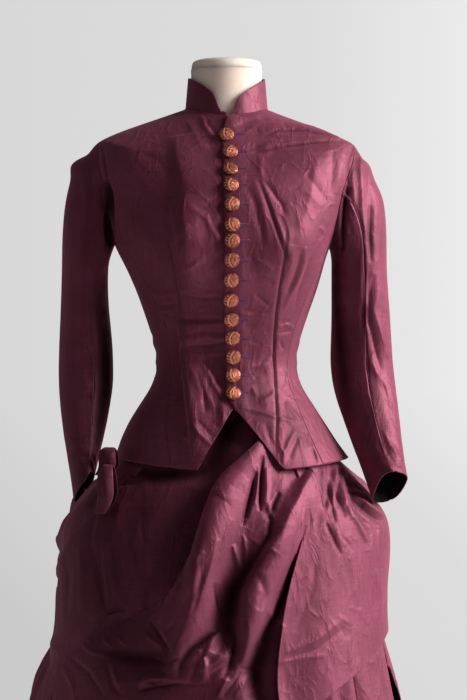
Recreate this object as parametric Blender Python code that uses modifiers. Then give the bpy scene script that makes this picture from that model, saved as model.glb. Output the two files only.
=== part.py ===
"""Bustle dress on a limbless dress form.

A fitted bodice with a stand collar, two-piece sleeves and fifteen buttons, a draped overskirt with
bustle puffs, and an underskirt with a knife-pleated flounce, on a torso form with a pole and a base.
Metres, +Z up. The front faces -Y and the wearer's left is +X. The origin is under the stand's base.

Cloth is a wall laid over a contour: a table of body sections, read at an angle round the body (0 at
the front, 90 at the wearer's left, 180 at the back) and a height at the side.
"""

import math
from collections import namedtuple

import bmesh
import bpy
import numpy as np
from mathutils import Vector

# Driving sizes
CLOTH = 0.002            # cloth, as thick as its lining and seam turnings make it
SEAM = 0.0003            # gap between two pieces at a seam
ARMHOLE_Z = 1.276        # middle of the armhole
ARMHOLE_RISE = 0.0785    # half its height
ARMHOLE_FRONT = {1: 30.0, -1: 19.0}   # how far it reaches forward, in degrees round the body
ARMHOLE_BACK = 30.0
ARMHOLE_STEPS = 20
HEM_Z = 0.882            # bodice hem at the side
CLOSE_Z = {1: 0.9700, -1: 0.9775}   # below this each front is cut away
NECK_Z = 1.4025          # neck seam at the side
NECK_PART_Z = 1.377      # above this the left front is cut back from the lap
NECK_PART = 0.013        # by this much at the neck seam
LAP = 0.0105             # how far the wearer's left front laps past the buttons
UNDERLAP = 0.008
LAP_LIFT = CLOTH + 0.0014
SKIRT_HEM_Z = 0.012
FLOUNCE_TOP_Z = 0.640
PLEATS = 38
PLEAT_DEPTH = 0.015
PLEAT_PRESSED = 0.6      # share of its depth that a pleat loses at the flounce's top
PLEAT_PRESSED_Z = 0.30   # below this it keeps all of it
PLEAT_FOLD = 0.88        # share of a pleat's width that is its face
BUTTON_GAP = 0.0009

Section = namedtuple("Section", "z front_drop back_drop half front back square shift", defaults=(0.0,))
BODICE = [
    Section(0.882, 0.014, 0.026, 0.1765, 0.130, 0.310, 2.0, 0.009),
    Section(0.915, 0.002, 0.006, 0.1590, 0.118, 0.240, 2.0, 0.002),
    Section(0.942, 0.000, 0.000, 0.1440, 0.108, 0.183, 2.0),
    Section(0.969, 0.000, 0.000, 0.1260, 0.098, 0.132, 2.0),
    Section(0.986, 0.000, 0.000, 0.1140, 0.090, 0.106, 2.0),
    Section(1.002, 0.000, 0.000, 0.1075, 0.085, 0.091, 2.0),
    Section(1.020, 0.000, 0.000, 0.1050, 0.083, 0.086, 2.0),
    Section(1.045, 0.000, 0.000, 0.1080, 0.086, 0.087, 2.0),
    Section(1.074, 0.000, 0.000, 0.1160, 0.094, 0.090, 2.0),
    Section(1.106, 0.000, 0.000, 0.1270, 0.106, 0.095, 2.0),
    Section(1.138, 0.000, 0.000, 0.1385, 0.119, 0.099, 2.0),
    Section(1.166, 0.000, 0.000, 0.1485, 0.127, 0.102, 2.1, -0.003),
    Section(1.195, 0.000, 0.000, 0.1605, 0.131, 0.104, 2.2, -0.006),
    Section(1.276, 0.004, 0.000, 0.1900, 0.117, 0.108, 2.3, -0.002),
    Section(1.3545, 0.034, 0.016, 0.1900, 0.092, 0.100, 2.4),
    Section(1.380, 0.028, 0.008, 0.1250, 0.077, 0.084, 2.2),
    Section(1.4025, 0.0145, -0.008, 0.0625, 0.060, 0.060, 2.0),
]
FORM = [
    Section(0.790, 0.000, 0.000, 0.1280, 0.088, 0.100, 2.0),
    Section(0.830, 0.000, 0.000, 0.1340, 0.092, 0.108, 2.0),
    Section(0.890, 0.000, 0.000, 0.1270, 0.089, 0.104, 2.0),
    Section(0.942, 0.000, 0.000, 0.1110, 0.080, 0.095, 2.0),
    Section(0.986, 0.000, 0.000, 0.0940, 0.070, 0.080, 2.0),
    Section(1.020, 0.000, 0.000, 0.0900, 0.069, 0.0755, 2.0),
    Section(1.074, 0.000, 0.000, 0.1060, 0.084, 0.081, 2.0),
    Section(1.138, 0.000, 0.000, 0.1290, 0.108, 0.090, 2.0),
    Section(1.195, 0.000, 0.000, 0.1480, 0.120, 0.095, 2.2),
    Section(1.276, 0.004, 0.000, 0.1590, 0.107, 0.098, 2.4),
    Section(1.335, 0.030, 0.014, 0.1590, 0.083, 0.090, 2.4),
    Section(1.362, 0.026, 0.008, 0.1220, 0.068, 0.075, 2.2),
    Section(1.390, 0.012, -0.006, 0.0580, 0.0540, 0.0540, 2.0),
    Section(1.425, 0.000, 0.000, 0.0530, 0.0515, 0.0505, 2.0),
    Section(1.462, 0.000, 0.000, 0.0545, 0.0530, 0.0520, 2.0),
]
UNDERSKIRT = [
    Section(0.640, 0.000, 0.000, 0.2180, 0.160, 0.330, 2.0),
    Section(0.720, 0.000, 0.000, 0.2120, 0.147, 0.335, 2.0),
    Section(0.800, 0.000, 0.000, 0.1970, 0.127, 0.315, 2.0),
    Section(0.870, 0.000, 0.000, 0.1520, 0.105, 0.230, 2.0),
    Section(0.920, 0.000, 0.000, 0.1290, 0.094, 0.150, 2.0),
    Section(0.960, 0.000, 0.000, 0.1110, 0.084, 0.100, 2.0),
    Section(0.9947, 0.000, 0.000, 0.0960, 0.0735, 0.084, 2.0),
]
FLOUNCE = [
    Section(0.012, 0.000, 0.000, 0.3250, 0.262, 0.430, 2.0),
    Section(0.200, 0.000, 0.000, 0.2960, 0.237, 0.401, 2.0),
    Section(0.420, 0.000, 0.000, 0.2620, 0.204, 0.366, 2.0),
    Section(0.640, 0.000, 0.000, 0.2215, 0.1635, 0.3335, 2.0),
]
OVERSKIRT = [
    Section(0.330, 0.000, 0.000, 0.2960, 0.240, 0.412, 2.0, -0.008),
    Section(0.450, 0.000, 0.000, 0.2800, 0.226, 0.404, 2.0, -0.008),
    Section(0.550, 0.000, 0.000, 0.2640, 0.208, 0.400, 2.0, -0.008),
    Section(0.620, 0.000, 0.000, 0.2500, 0.194, 0.403, 2.0, -0.009),
    Section(0.690, 0.000, 0.000, 0.2450, 0.178, 0.410, 2.0, -0.010),
    Section(0.750, 0.000, 0.000, 0.2430, 0.161, 0.408, 2.0, -0.008),
    Section(0.800, 0.000, 0.000, 0.2330, 0.145, 0.385, 2.0, -0.004),
    Section(0.840, 0.000, 0.000, 0.2000, 0.129, 0.330, 2.0, -0.001),
    Section(0.870, 0.000, 0.000, 0.1690, 0.116, 0.262, 2.0, 0.0),
    Section(0.900, 0.000, 0.000, 0.1490, 0.106, 0.202, 2.0, 0.0),
    Section(0.940, 0.000, 0.000, 0.1270, 0.094, 0.140, 2.0, 0.0),
    Section(0.9947, 0.000, 0.000, 0.0990, 0.0765, 0.087, 2.0, 0.0),
]

# Seams of the bodice: the angle round the body at each height
SeamPoint = namedtuple("SeamPoint", "z degrees")
SIDE_FRONT_SEAM = {
    1: [SeamPoint(0.882, 45.0), SeamPoint(0.942, 47.5), SeamPoint(1.020, 54.0),
        SeamPoint(1.090, 55.5), SeamPoint(1.142, 60.5), SeamPoint(1.195, 69.5)],
    -1: [SeamPoint(0.882, 33.5), SeamPoint(0.915, 37.0), SeamPoint(0.960, 44.5), SeamPoint(1.020, 54.0),
         SeamPoint(1.090, 55.5), SeamPoint(1.142, 60.5), SeamPoint(1.195, 69.5)],
}
SIDE_BACK_SEAM = [
    SeamPoint(0.882, 98.0), SeamPoint(0.942, 103.0), SeamPoint(1.020, 111.0),
    SeamPoint(1.090, 110.0), SeamPoint(1.195, 108.0),
]
BACK_SEAM = [
    SeamPoint(0.882, 142.0), SeamPoint(0.942, 149.0), SeamPoint(1.020, 158.0),
    SeamPoint(1.090, 153.0), SeamPoint(1.195, 138.0), SeamPoint(1.240, 128.0),
]
LOW_LEVELS = [0.882, 0.910, 0.938, 0.966, 0.992, 1.020, 1.048, 1.078, 1.110, 1.142, 1.174, 1.197]
SHOULDER_LEVELS = [1.370, 1.386, 1.4025]
CUTAWAY = {1: 0.0715, -1: 0.0525}   # how far from the centre each front's edge is at the hem
CUT_CURVE = {1: 1.0, -1: 1.25}

Button = namedtuple("Button", "z x")
BUTTONS = [
    Button(1.3569, -0.0067), Button(1.3309, -0.0022), Button(1.3043, -0.0030), Button(1.2803, -0.0032),
    Button(1.2524, -0.0027), Button(1.2222, -0.0027), Button(1.1990, -0.0030), Button(1.1717, -0.0032),
    Button(1.1432, -0.0034), Button(1.1147, -0.0028), Button(1.0867, -0.0012), Button(1.0600, 0.0012),
    Button(1.0323, 0.0028), Button(1.0053, 0.0025), Button(0.9793, 0.0018),
]
BUTTON_PROFILE = [(0.0, 0.0044), (0.0068, 0.0036), (0.0112, 0.0010), (0.0104, 0.0), (0.0, 0.0)]

# Sleeves, from under the arm to the cuff
SleeveRow = namedtuple("SleeveRow", "z out y across deep tilt_out tilt_back")
LEFT_SLEEVE = [
    SleeveRow(1.158, 0.2010, 0.004, 0.0420, 0.054, 0.00, 0.00),
    SleeveRow(1.115, 0.2035, 0.007, 0.0440, 0.052, 0.00, 0.00),
    SleeveRow(1.074, 0.2050, 0.009, 0.0455, 0.049, 0.00, 0.00),
    SleeveRow(1.020, 0.2050, 0.008, 0.0485, 0.045, 0.00, 0.00),
    SleeveRow(0.980, 0.2095, -0.002, 0.0480, 0.042, 0.00, 0.00),
    SleeveRow(0.933, 0.2175, -0.020, 0.0420, 0.039, 0.05, -0.08),
    SleeveRow(0.898, 0.2240, -0.037, 0.0360, 0.036, 0.15, -0.15),
    SleeveRow(0.866, 0.2300, -0.053, 0.0305, 0.033, 0.30, -0.25),
    SleeveRow(0.838, 0.2350, -0.066, 0.0270, 0.031, 0.50, -0.40),
]
RIGHT_SLEEVE = [
    SleeveRow(1.158, 0.2120, 0.004, 0.0345, 0.059, 0.00, 0.00),
    SleeveRow(1.115, 0.2135, 0.007, 0.0345, 0.057, 0.00, 0.00),
    SleeveRow(1.074, 0.2125, 0.009, 0.0370, 0.054, 0.00, 0.00),
    SleeveRow(1.020, 0.2118, 0.008, 0.0403, 0.049, 0.00, 0.00),
    SleeveRow(0.980, 0.2120, -0.002, 0.0390, 0.045, 0.00, 0.00),
    SleeveRow(0.933, 0.2130, -0.020, 0.0330, 0.042, -0.10, -0.08),
    SleeveRow(0.900, 0.2130, -0.037, 0.0270, 0.038, -0.25, -0.12),
    SleeveRow(0.870, 0.2135, -0.054, 0.0205, 0.035, -0.50, -0.18),
    SleeveRow(0.842, 0.2145, -0.070, 0.0160, 0.032, -1.00, -0.25),
]
HEAD_SLOPE = (22.0, 42.0)   # how steeply it leaves the armhole at the shoulder, and how much more below
CAP_STEPS = (0.14, 0.32, 0.54, 0.77)
CAP_FULLNESS = 0.95
SEAM_COLUMNS = {1: (5, 15), -1: (6, 15)}   # where the sleeve is divided, counted from the shoulder

# Drapery: lines down the cloth, each a row of angles, heights and lifts off the contour
Place = namedtuple("Place", "share degrees z lift")
Line = namedtuple("Line", "columns places")   # columns: how many lie between it and the next line


def line(columns, *places):
    return Line(columns, [Place(*place) for place in places])


SIDE_PANEL = [
    line(3, (0, -62, 0.9947, 0.0033), (0.12, -59, 0.935, 0.0019), (0.2, -57, 0.885, 0.0014),
         (0.35, -55, 0.820, 0.0024), (0.45, -68, 0.775, 0.002), (0.56, -86, 0.724, 0),
         (1, -94, 0.583, 0)),
    line(2, (0, -47, 0.9947, 0.0033), (0.12, -46, 0.935, 0.0019), (0.25, -46, 0.870, 0.0014),
         (0.45, -52, 0.770, 0.006), (0.6, -49, 0.700, 0.005), (0.75, -50, 0.640, 0),
         (1, -58, 0.550, 0)),
    line(2, (0, -34, 0.9947, 0), (0.45, -40, 0.770, 0), (0.7, -40, 0.650, 0), (1, -44, 0.520, 0)),
    line(2, (0, -20, 0.9947, 0), (0.25, -24, 0.870, 0.002), (0.45, -32, 0.770, 0.005),
         (0.6, -31, 0.700, 0.003), (0.75, -32, 0.640, 0), (1, -34, 0.510, 0)),
    line(3, (0, -6, 0.9947, 0), (0.25, -11, 0.870, 0), (0.45, -24, 0.770, 0), (1, -26, 0.480, 0)),
    line(0, (0, 20, 0.9947, 0), (0.2, 14, 0.885, 0), (0.35, -1, 0.820, 0), (0.5, -10, 0.740, 0),
         (0.7, -13, 0.640, 0), (1, -14, 0.480, 0)),
]
APRON = [
    line(1, (0, 10, 0.9947, 0.0032), (0.15, 5, 0.900, 0.0032), (0.3, -11, 0.825, 0.0034),
         (0.45, -18, 0.738, 0.0045), (0.55, -28, 0.690, 0.008), (0.7, -45.5, 0.664, 0.008),
         (0.85, -64, 0.632, 0.007), (1, -86, 0.604, 0.008)),
    line(2, (0, 13, 0.9947, 0.0033), (0.15, 11, 0.900, 0.0045), (0.3, -6.5, 0.820, 0.016),
         (0.45, -14, 0.742, 0.022), (0.55, -19, 0.672, 0.019), (0.7, -36, 0.620, 0.013),
         (0.85, -54, 0.592, 0.010), (1, -74, 0.581, 0.007)),
    line(2, (0, 20, 0.9947, 0.0033), (0.15, 17, 0.900, 0.0040), (0.3, 6.5, 0.815, 0.008),
         (0.45, -1, 0.742, 0.002), (0.55, -6.5, 0.664, 0.001), (0.7, -24, 0.580, 0.006),
         (0.85, -45, 0.545, 0.009), (1, -67, 0.540, 0.008)),
    line(2, (0, 27, 0.9947, 0.0033), (0.15, 24, 0.900, 0.0036), (0.3, 18, 0.812, 0.010),
         (0.45, 10.5, 0.736, 0.016), (0.55, 4, 0.655, 0.015), (0.7, -12, 0.545, 0.011),
         (0.85, -38, 0.492, 0.010), (1, -65, 0.490, 0.008)),
    line(2, (0, 33, 0.9947, 0.0033), (0.15, 30, 0.900, 0.0033), (0.3, 25, 0.808, 0.003),
         (0.45, 18, 0.730, 0), (0.55, 9.5, 0.645, -0.001), (0.7, -3, 0.510, 0.003),
         (0.85, -30, 0.440, 0.007), (1, -64, 0.430, 0.008)),
    line(0, (0, 43, 0.9947, 0.0033), (0.15, 40, 0.900, 0.0033), (0.3, 36, 0.800, 0.001),
         (0.45, 31, 0.690, 0), (0.55, 27, 0.560, 0), (0.7, 14, 0.430, 0.003),
         (0.85, -24, 0.388, 0.007), (1, -63, 0.365, 0.008)),
]
BIG_PANEL = [
    line(1, (0, 36, 0.9947, 0.0066), (0.25, 32, 0.875, 0.0068), (0.43, 26, 0.788, 0.008),
         (0.58, 20, 0.714, 0.011), (0.73, 16, 0.644, 0.011), (0.87, 14.5, 0.580, 0.010),
         (1, 15, 0.508, 0.011)),
    line(2, (0, 41, 0.9947, 0.0066), (0.25, 37, 0.875, 0.0066), (0.43, 31, 0.790, 0.0066),
         (0.58, 25, 0.718, 0.007), (0.73, 21, 0.655, 0.006), (1, 21, 0.527, 0.006)),
    line(2, (0, 50, 0.9947, 0.0066), (0.25, 48, 0.880, 0.007), (0.43, 45, 0.800, 0.010),
         (0.58, 41, 0.735, 0.006), (1, 36, 0.563, 0.006)),
    line(2, (0, 60, 0.9947, 0.0060), (0.25, 59, 0.880, 0.005), (0.43, 58, 0.805, 0.005),
         (1, 53, 0.594, 0.005)),
    line(3, (0, 71, 0.9947, 0.0060), (0.25, 71, 0.880, 0.006), (0.43, 71, 0.805, 0.008),
         (0.58, 70, 0.742, 0.005), (1, 68, 0.616, 0.004)),
    line(0, (0, 88, 0.9947, 0.0042), (0.25, 80, 0.870, 0.0052), (0.36, 83, 0.828, 0.0050),
         (0.5, 95, 0.770, 0.0040), (1, 97, 0.640, 0.0036)),
]
BACK_PUFF = [
    line(2, (0, 70, 0.9947, 0), (0.3, 64, 0.895, 0), (0.45, 68, 0.842, -0.001),
         (0.75, 82, 0.750, -0.0035), (1, 84, 0.700, -0.0045)),
    line(2, (0, 87, 0.9947, 0), (0.3, 84, 0.893, 0), (0.36, 84, 0.874, 0.001),
         (0.47, 86, 0.838, 0.000), (0.6, 88, 0.796, -0.003), (0.75, 92, 0.750, -0.0035),
         (1, 92, 0.696, -0.0045)),
    line(3, (0, 102, 0.9947, 0), (0.3, 100, 0.895, 0.001), (0.39, 99, 0.866, 0.018),
         (0.5, 99, 0.828, 0.016), (0.65, 100, 0.780, 0.002), (0.78, 102, 0.745, -0.002),
         (1, 102, 0.690, -0.0045)),
    line(5, (0, 128, 0.9947, 0), (0.35, 124, 0.868, 0.004), (0.6, 122, 0.790, 0.012),
         (0.85, 121, 0.700, 0.026), (1, 121, 0.655, 0.012)),
    line(5, (0, 180, 0.9947, 0), (0.35, 180, 0.868, 0), (0.6, 180, 0.790, 0.020),
         (0.85, 180, 0.690, 0.044), (1, 180, 0.635, 0.024)),
    line(4, (0, 232, 0.9947, 0), (0.35, 236, 0.868, 0), (0.6, 238, 0.790, 0.012),
         (0.85, 239, 0.700, 0.026), (1, 239, 0.655, 0.012)),
    line(2, (0, 284, 0.9947, 0), (0.2, 286, 0.930, -0.0015), (0.4, 288, 0.862, -0.0015),
         (0.75, 270, 0.750, -0.004), (1, 262, 0.690, -0.0045)),
    line(0, (0, 305, 0.9947, 0), (0.2, 308, 0.930, -0.0015), (0.4, 310, 0.862, -0.002),
         (0.75, 298, 0.750, -0.005), (1, 286, 0.700, -0.005)),
]
TAIL = [
    line(2, (0, 84, 0.715, -0.0085), (0.4, 88, 0.600, -0.0065), (0.7, 94, 0.510, 0.001),
         (1, 100, 0.420, 0.008)),
    line(2, (0, 104, 0.710, -0.0085), (0.4, 103, 0.590, -0.0040), (1, 110, 0.400, 0.008)),
    line(5, (0, 122, 0.700, -0.0035), (0.2, 122, 0.640, -0.002), (0.45, 121, 0.560, 0.010),
         (1, 124, 0.375, 0.006)),
    line(5, (0, 180, 0.690, 0.000), (0.2, 180, 0.625, 0.004), (0.45, 180, 0.550, 0.030),
         (1, 180, 0.350, 0.010)),
    line(4, (0, 234, 0.700, -0.0035), (0.2, 234, 0.640, -0.002), (0.45, 235, 0.560, 0.026),
         (1, 236, 0.355, 0.018)),
    line(2, (0, 262, 0.695, -0.0085), (0.32, 262, 0.588, -0.0080), (0.40, 262, 0.562, 0.006),
         (0.50, 262, 0.530, 0.016), (0.70, 262, 0.460, 0.018), (1, 262, 0.362, 0.010)),
    line(0, (0, 282, 0.690, -0.0090), (0.4, 284, 0.560, -0.0080), (0.55, 286, 0.515, -0.003),
         (1, 288, 0.380, -0.002)),
]

LOOP_CENTRE = (-0.1765, -0.108, 0.846)
LOOP_SIZE = (0.0160, 0.043, 0.034)   # half across, half tall, and wide
LOOP_TURN = 62.0                    # its opening, round from the front
LOOP_NARROW = 0.25                  # how much narrower it is at the top
LOOP_STEPS = 14

Finish = namedtuple("Finish", "name colour roughness metallic")
TAFFETA = Finish("silk_taffeta", (0.118, 0.018, 0.036, 1.0), 0.42, 0.0)
COPPER = Finish("copper_button", (0.56, 0.21, 0.10, 1.0), 0.38, 0.9)
FORM_CLOTH = Finish("form_jersey", (0.72, 0.66, 0.58, 1.0), 0.85, 0.0)
FORM_WOOD = Finish("painted_wood", (0.80, 0.77, 0.72, 1.0), 0.5, 0.0)
STAND_IRON = Finish("black_iron", (0.03, 0.03, 0.032, 1.0), 0.5, 0.6)


def clear_scene():
    for obj in list(bpy.data.objects):
        bpy.data.objects.remove(obj)


def dress_collection():
    made = bpy.data.collections.new("bustle_dress")
    bpy.context.scene.collection.children.link(made)
    return made


def material(finish):
    """The Blender material of a finish, made once."""
    made = bpy.data.materials.get(finish.name)
    if made is None:
        made = bpy.data.materials.new(finish.name)
        made.use_nodes = True
        shader = made.node_tree.nodes["Principled BSDF"]
        shader.inputs["Base Color"].default_value = finish.colour
        shader.inputs["Roughness"].default_value = finish.roughness
        shader.inputs["Metallic"].default_value = finish.metallic
        made.diffuse_color = finish.colour
    return made


def add_object(name, mesh, finish, collection):
    mesh.materials.append(material(finish))
    obj = bpy.data.objects.new(name, mesh)
    collection.objects.link(obj)
    return obj


# ---------------------------------------------------------------- curves and contours

def smooth_at(xs, ys, x):
    """A smooth curve through the points, read at x and held level past its ends."""
    if x <= xs[0]:
        return ys[0]
    if x >= xs[-1]:
        return ys[-1]
    i = int(np.searchsorted(xs, x, side="right")) - 1
    span = xs[i + 1] - xs[i]
    low, high = max(i - 1, 0), min(i + 2, len(xs) - 1)
    slope_0 = (ys[i + 1] - ys[low]) / (xs[i + 1] - xs[low])
    slope_1 = (ys[high] - ys[i]) / (xs[high] - xs[i])
    t = (x - xs[i]) / span
    return (
        (2 * t**3 - 3 * t**2 + 1) * ys[i]
        + (t**3 - 2 * t**2 + t) * span * slope_0
        + (3 * t**2 - 2 * t**3) * ys[i + 1]
        + (t**3 - t**2) * span * slope_1
    )


def ease(low, high, x):
    """0 below low, 1 above high, and smooth between."""
    t = min(1.0, max(0.0, (x - low) / (high - low)))
    return t * t * (3 - 2 * t)


def power(value, exponent):
    """A power that keeps the sign."""
    return math.copysign(abs(value) ** exponent, value)


class Contour:
    """A body shape: sections at several heights, smooth between them."""

    def __init__(self, sections):
        self.heights = [s.z for s in sections]
        self.columns = {
            field: [getattr(s, field) for s in sections] for field in Section._fields
        }

    def size(self, field, z):
        return smooth_at(self.heights, self.columns[field], z)

    def point(self, degrees, z):
        s, c = math.sin(math.radians(degrees)), math.cos(math.radians(degrees))
        shape = 2.0 / self.size("square", z)
        depth = self.size("front" if c > 0 else "back", z)
        drop = self.size("front_drop" if c > 0 else "back_drop", z)
        return np.array([
            self.size("half", z) * power(s, shape) + self.size("shift", z),
            -depth * power(c, shape),
            z - drop * c * c,
        ])

    def degrees_at(self, x, z):
        """The angle near the front at which a section reaches an x."""
        share = (x - self.size("shift", z)) / self.size("half", z)
        return math.degrees(math.asin(power(share, self.size("square", z) / 2.0)))

    def outward(self, degrees, z):
        """The level direction that points straight out of the section."""
        s, c = math.sin(math.radians(degrees)), math.cos(math.radians(degrees))
        depth = self.size("front" if c > 0 else "back", z)
        out = np.array([s / self.size("half", z), -c / depth, 0.0])
        return out / np.linalg.norm(out)


def normal_of(surface, degrees, z):
    """The outward normal of surface(degrees, z)."""
    turn, rise = 0.25, 0.0008
    across = surface(degrees + turn, z) - surface(degrees - turn, z)
    upward = surface(degrees, z + rise) - surface(degrees, z - rise)
    out = np.cross(across, upward)
    return out / np.linalg.norm(out)


RIM_NORMALS = {}         # normals shared by the bodice and the sleeves round the armholes


def rim_key(degrees, z):
    return round(degrees, 3), round(z, 5)


def sampled(surface, places):
    """Outer points and normals of a surface at rows of (degrees, z)."""
    points = np.array([[surface(d, z) for d, z in row] for row in places])
    normals = []
    for row in places:
        shared = [RIM_NORMALS.get(rim_key(d, z)) for d, z in row]
        normals.append([normal_of(surface, d, z) if n is None else n for n, (d, z) in zip(shared, row)])
    return points, np.array(normals)


# ---------------------------------------------------------------- walls

def grid_faces(rows, columns, offset, flip, closed):
    faces = []
    for r in range(rows - 1):
        for c in range(columns if closed else columns - 1):
            d = (c + 1) % columns
            quad = [r * columns + c, r * columns + d, (r + 1) * columns + d, (r + 1) * columns + c]
            faces.append([offset + i for i in (quad[::-1] if flip else quad)])
    return faces


def rim_faces(rows, columns, closed, heights):
    """The faces that close a wall round its edge, between its outer and inner grids. Each is
    split from its lower outer corner, so two walls that share a seam have parallel edges."""
    inner = rows * columns
    loops = []
    if closed:
        for start in (0, (rows - 1) * columns):
            loops.append(list(range(start, start + columns)) + [start])
    else:
        around = list(range(columns))
        around += [r * columns + columns - 1 for r in range(1, rows)]
        around += [(rows - 1) * columns + c for c in range(columns - 2, -1, -1)]
        around += [r * columns for r in range(rows - 2, -1, -1)]
        loops.append(around)
    faces = []
    for loop in loops:
        for a, b in zip(loop, loop[1:]):
            if heights[a] <= heights[b]:
                faces += [[a, b, inner + b], [a, inner + b, inner + a]]
            else:
                faces += [[a, b, inner + a], [b, inner + b, inner + a]]
    return faces


def draw_in(grid, partner, gap, sides):
    """Moves the named edges of both grids inwards by a gap, along the cloth."""
    moves = {
        "low": ((0, slice(None)), (1, slice(None))),
        "high": ((-1, slice(None)), (-2, slice(None))),
        "left": ((slice(None), 0), (slice(None), 1)),
        "right": ((slice(None), -1), (slice(None), -2)),
    }
    for side in sides:
        edge, inside = moves[side]
        along = grid[inside] - grid[edge]
        step = along / np.linalg.norm(along, axis=-1, keepdims=True) * gap
        grid[edge] += step
        partner[edge] += step


def wall(name, points, normals, collection, finish=TAFFETA, thick=CLOTH, straight=(),
         sides=("low", "high", "left", "right"), closed=False):
    """A cloth wall: its outer face on the points, its inner face a thickness behind."""
    outer = points.copy()
    inner = points - normals * thick
    for r, c in straight:
        for grid in (outer, inner):
            grid[r, c] = (grid[r - 1, c] + grid[r + 1, c]) / 2
    draw_in(outer, inner, SEAM / 2, sides)
    rows, columns = outer.shape[:2]
    vertices = np.concatenate([outer.reshape(-1, 3), inner.reshape(-1, 3)])
    faces = grid_faces(rows, columns, 0, False, closed)
    faces += grid_faces(rows, columns, rows * columns, True, closed)
    faces += rim_faces(rows, columns, closed, vertices[:, 2])
    mesh = bpy.data.meshes.new(name)
    mesh.from_pydata([tuple(v) for v in vertices], [], faces)
    tidy = bmesh.new()
    tidy.from_mesh(mesh)
    bmesh.ops.recalc_face_normals(tidy, faces=tidy.faces)
    tidy.to_mesh(mesh)
    tidy.free()
    mesh.shade_smooth()
    mesh.set_sharp_from_angle(angle=math.radians(40))
    return add_object(name, mesh, finish, collection)


def loft(name, rings, finish, collection):
    """A closed solid through rings of points, lowest first."""
    rows, columns = len(rings), len(rings[0])
    vertices = [tuple(p) for ring in rings for p in ring]
    faces = grid_faces(rows, columns, 0, False, True)
    faces.append(list(range(columns))[::-1])
    faces.append([(rows - 1) * columns + c for c in range(columns)])
    mesh = bpy.data.meshes.new(name)
    mesh.from_pydata(vertices, [], faces)
    mesh.shade_smooth()
    mesh.set_sharp_from_angle(angle=math.radians(40))
    return add_object(name, mesh, finish, collection)


def turned(name, profile, steps, finish, collection):
    """A turned solid: a profile of (radius, height), top to bottom, swept by a Screw modifier."""
    mesh = bpy.data.meshes.new(name)
    mesh.from_pydata([(r, 0.0, z) for r, z in profile], [(i, i + 1) for i in range(len(profile) - 1)], [])
    obj = add_object(name, mesh, finish, collection)
    screw = obj.modifiers.new("turn", "SCREW")
    screw.steps = screw.render_steps = steps
    screw.use_merge_vertices = True
    screw.merge_threshold = 0.00005
    screw.use_smooth_shade = True
    return obj


# ---------------------------------------------------------------- bodice

BODICE_SHAPE = Contour(BODICE)
Bust = namedtuple("Bust", "lift degrees z wide tall")
BUST = Bust(0.009, 34.0, 1.200, 20.0, 0.055)


def bust(degrees, z):
    """How far the bust rounds out the fronts."""
    across, up = (abs(degrees) - BUST.degrees) / BUST.wide, (z - BUST.z) / BUST.tall
    return BUST.lift * math.exp(-(across * across) - up * up)


def bodice_surface(degrees, z):
    """The bodice's outer face, without the lap."""
    return BODICE_SHAPE.point(degrees, z) + BODICE_SHAPE.outward(degrees, z) * bust(degrees, z)


def button_line(side_z):
    """The x of the buttons' line on a bodice section."""
    rising = BUTTONS[::-1]
    height = side_z - BODICE_SHAPE.size("front_drop", side_z)
    return smooth_at([b.z for b in rising], [b.x for b in rising], height)


def lap_surface(degrees, z):
    """The wearer's left front, which steps out where it laps over the right one."""
    across = bodice_surface(degrees, z)[0] - button_line(z)
    lift = LAP_LIFT * (1.0 - ease(UNDERLAP + 0.004, UNDERLAP + 0.016, across))
    return bodice_surface(degrees, z) + BODICE_SHAPE.outward(degrees, z) * lift


def armhole_place(step, side=1):
    """(degrees, z) of a point on the armhole, counted from the shoulder round by the front."""
    z = ARMHOLE_Z + ARMHOLE_RISE * math.cos(2.0 * math.pi * step / ARMHOLE_STEPS)
    return armhole_degrees(z, step > ARMHOLE_STEPS / 2, side), z


def armhole_degrees(z, back, side=1):
    """The armhole's angle at a height, on its front or back half."""
    rise = max(-1.0, min(1.0, (z - ARMHOLE_Z) / ARMHOLE_RISE))
    sweep = ARMHOLE_BACK if back else -ARMHOLE_FRONT[side]
    return 90.0 + sweep * math.sqrt(1.0 - rise * rise)


def seam_degrees(seam, foot_step, z, side):
    """A seam's angle at a height, ending on the armhole at one of its steps."""
    end_degrees, end_z = armhole_place(foot_step, side)
    xs = [p.z for p in seam if p.z < end_z] + [end_z]
    ys = [p.degrees for p in seam if p.z < end_z] + [end_degrees]
    return smooth_at(xs, ys, z)


FRONT_FOOT, BACK_FOOT, BACK_TOP = 8, 12, 15   # armhole steps where the seams end


def armhole_levels(first, last):
    return [armhole_place(step)[1] for step in range(first, last, -1 if first > last else 1)]


def front_levels():
    return LOW_LEVELS + armhole_levels(FRONT_FOOT, 0) + [armhole_place(0)[1]] + SHOULDER_LEVELS


def front_centre(z, side):
    """Where a front begins: past the buttons at its lap, and cut away towards the hem."""
    neck = ease(NECK_PART_Z, NECK_Z, z) * NECK_PART
    start = button_line(z) + (neck - LAP if side > 0 else UNDERLAP)
    share = max(0.0, (CLOSE_Z[side] - z) / (CLOSE_Z[side] - HEM_Z)) ** CUT_CURVE[side]
    return side * BODICE_SHAPE.degrees_at(start * (1.0 - share) + side * share * CUTAWAY[side], z)


def front_outer(z, side):
    """Where a front ends: at its side seam, then the armhole, then the shoulder seam."""
    foot_z, tip_z = armhole_place(FRONT_FOOT)[1], armhole_place(0)[1]
    if z <= foot_z:
        return seam_degrees(SIDE_FRONT_SEAM[side], FRONT_FOOT, z, side)
    return armhole_degrees(z, False, side) if z < tip_z else 90.0


def worn(places, side):
    """The places of a piece, taken to the wearer's right with its columns still facing out."""
    return places if side > 0 else [[(-degrees, z) for degrees, z in row[::-1]] for row in places]


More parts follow.
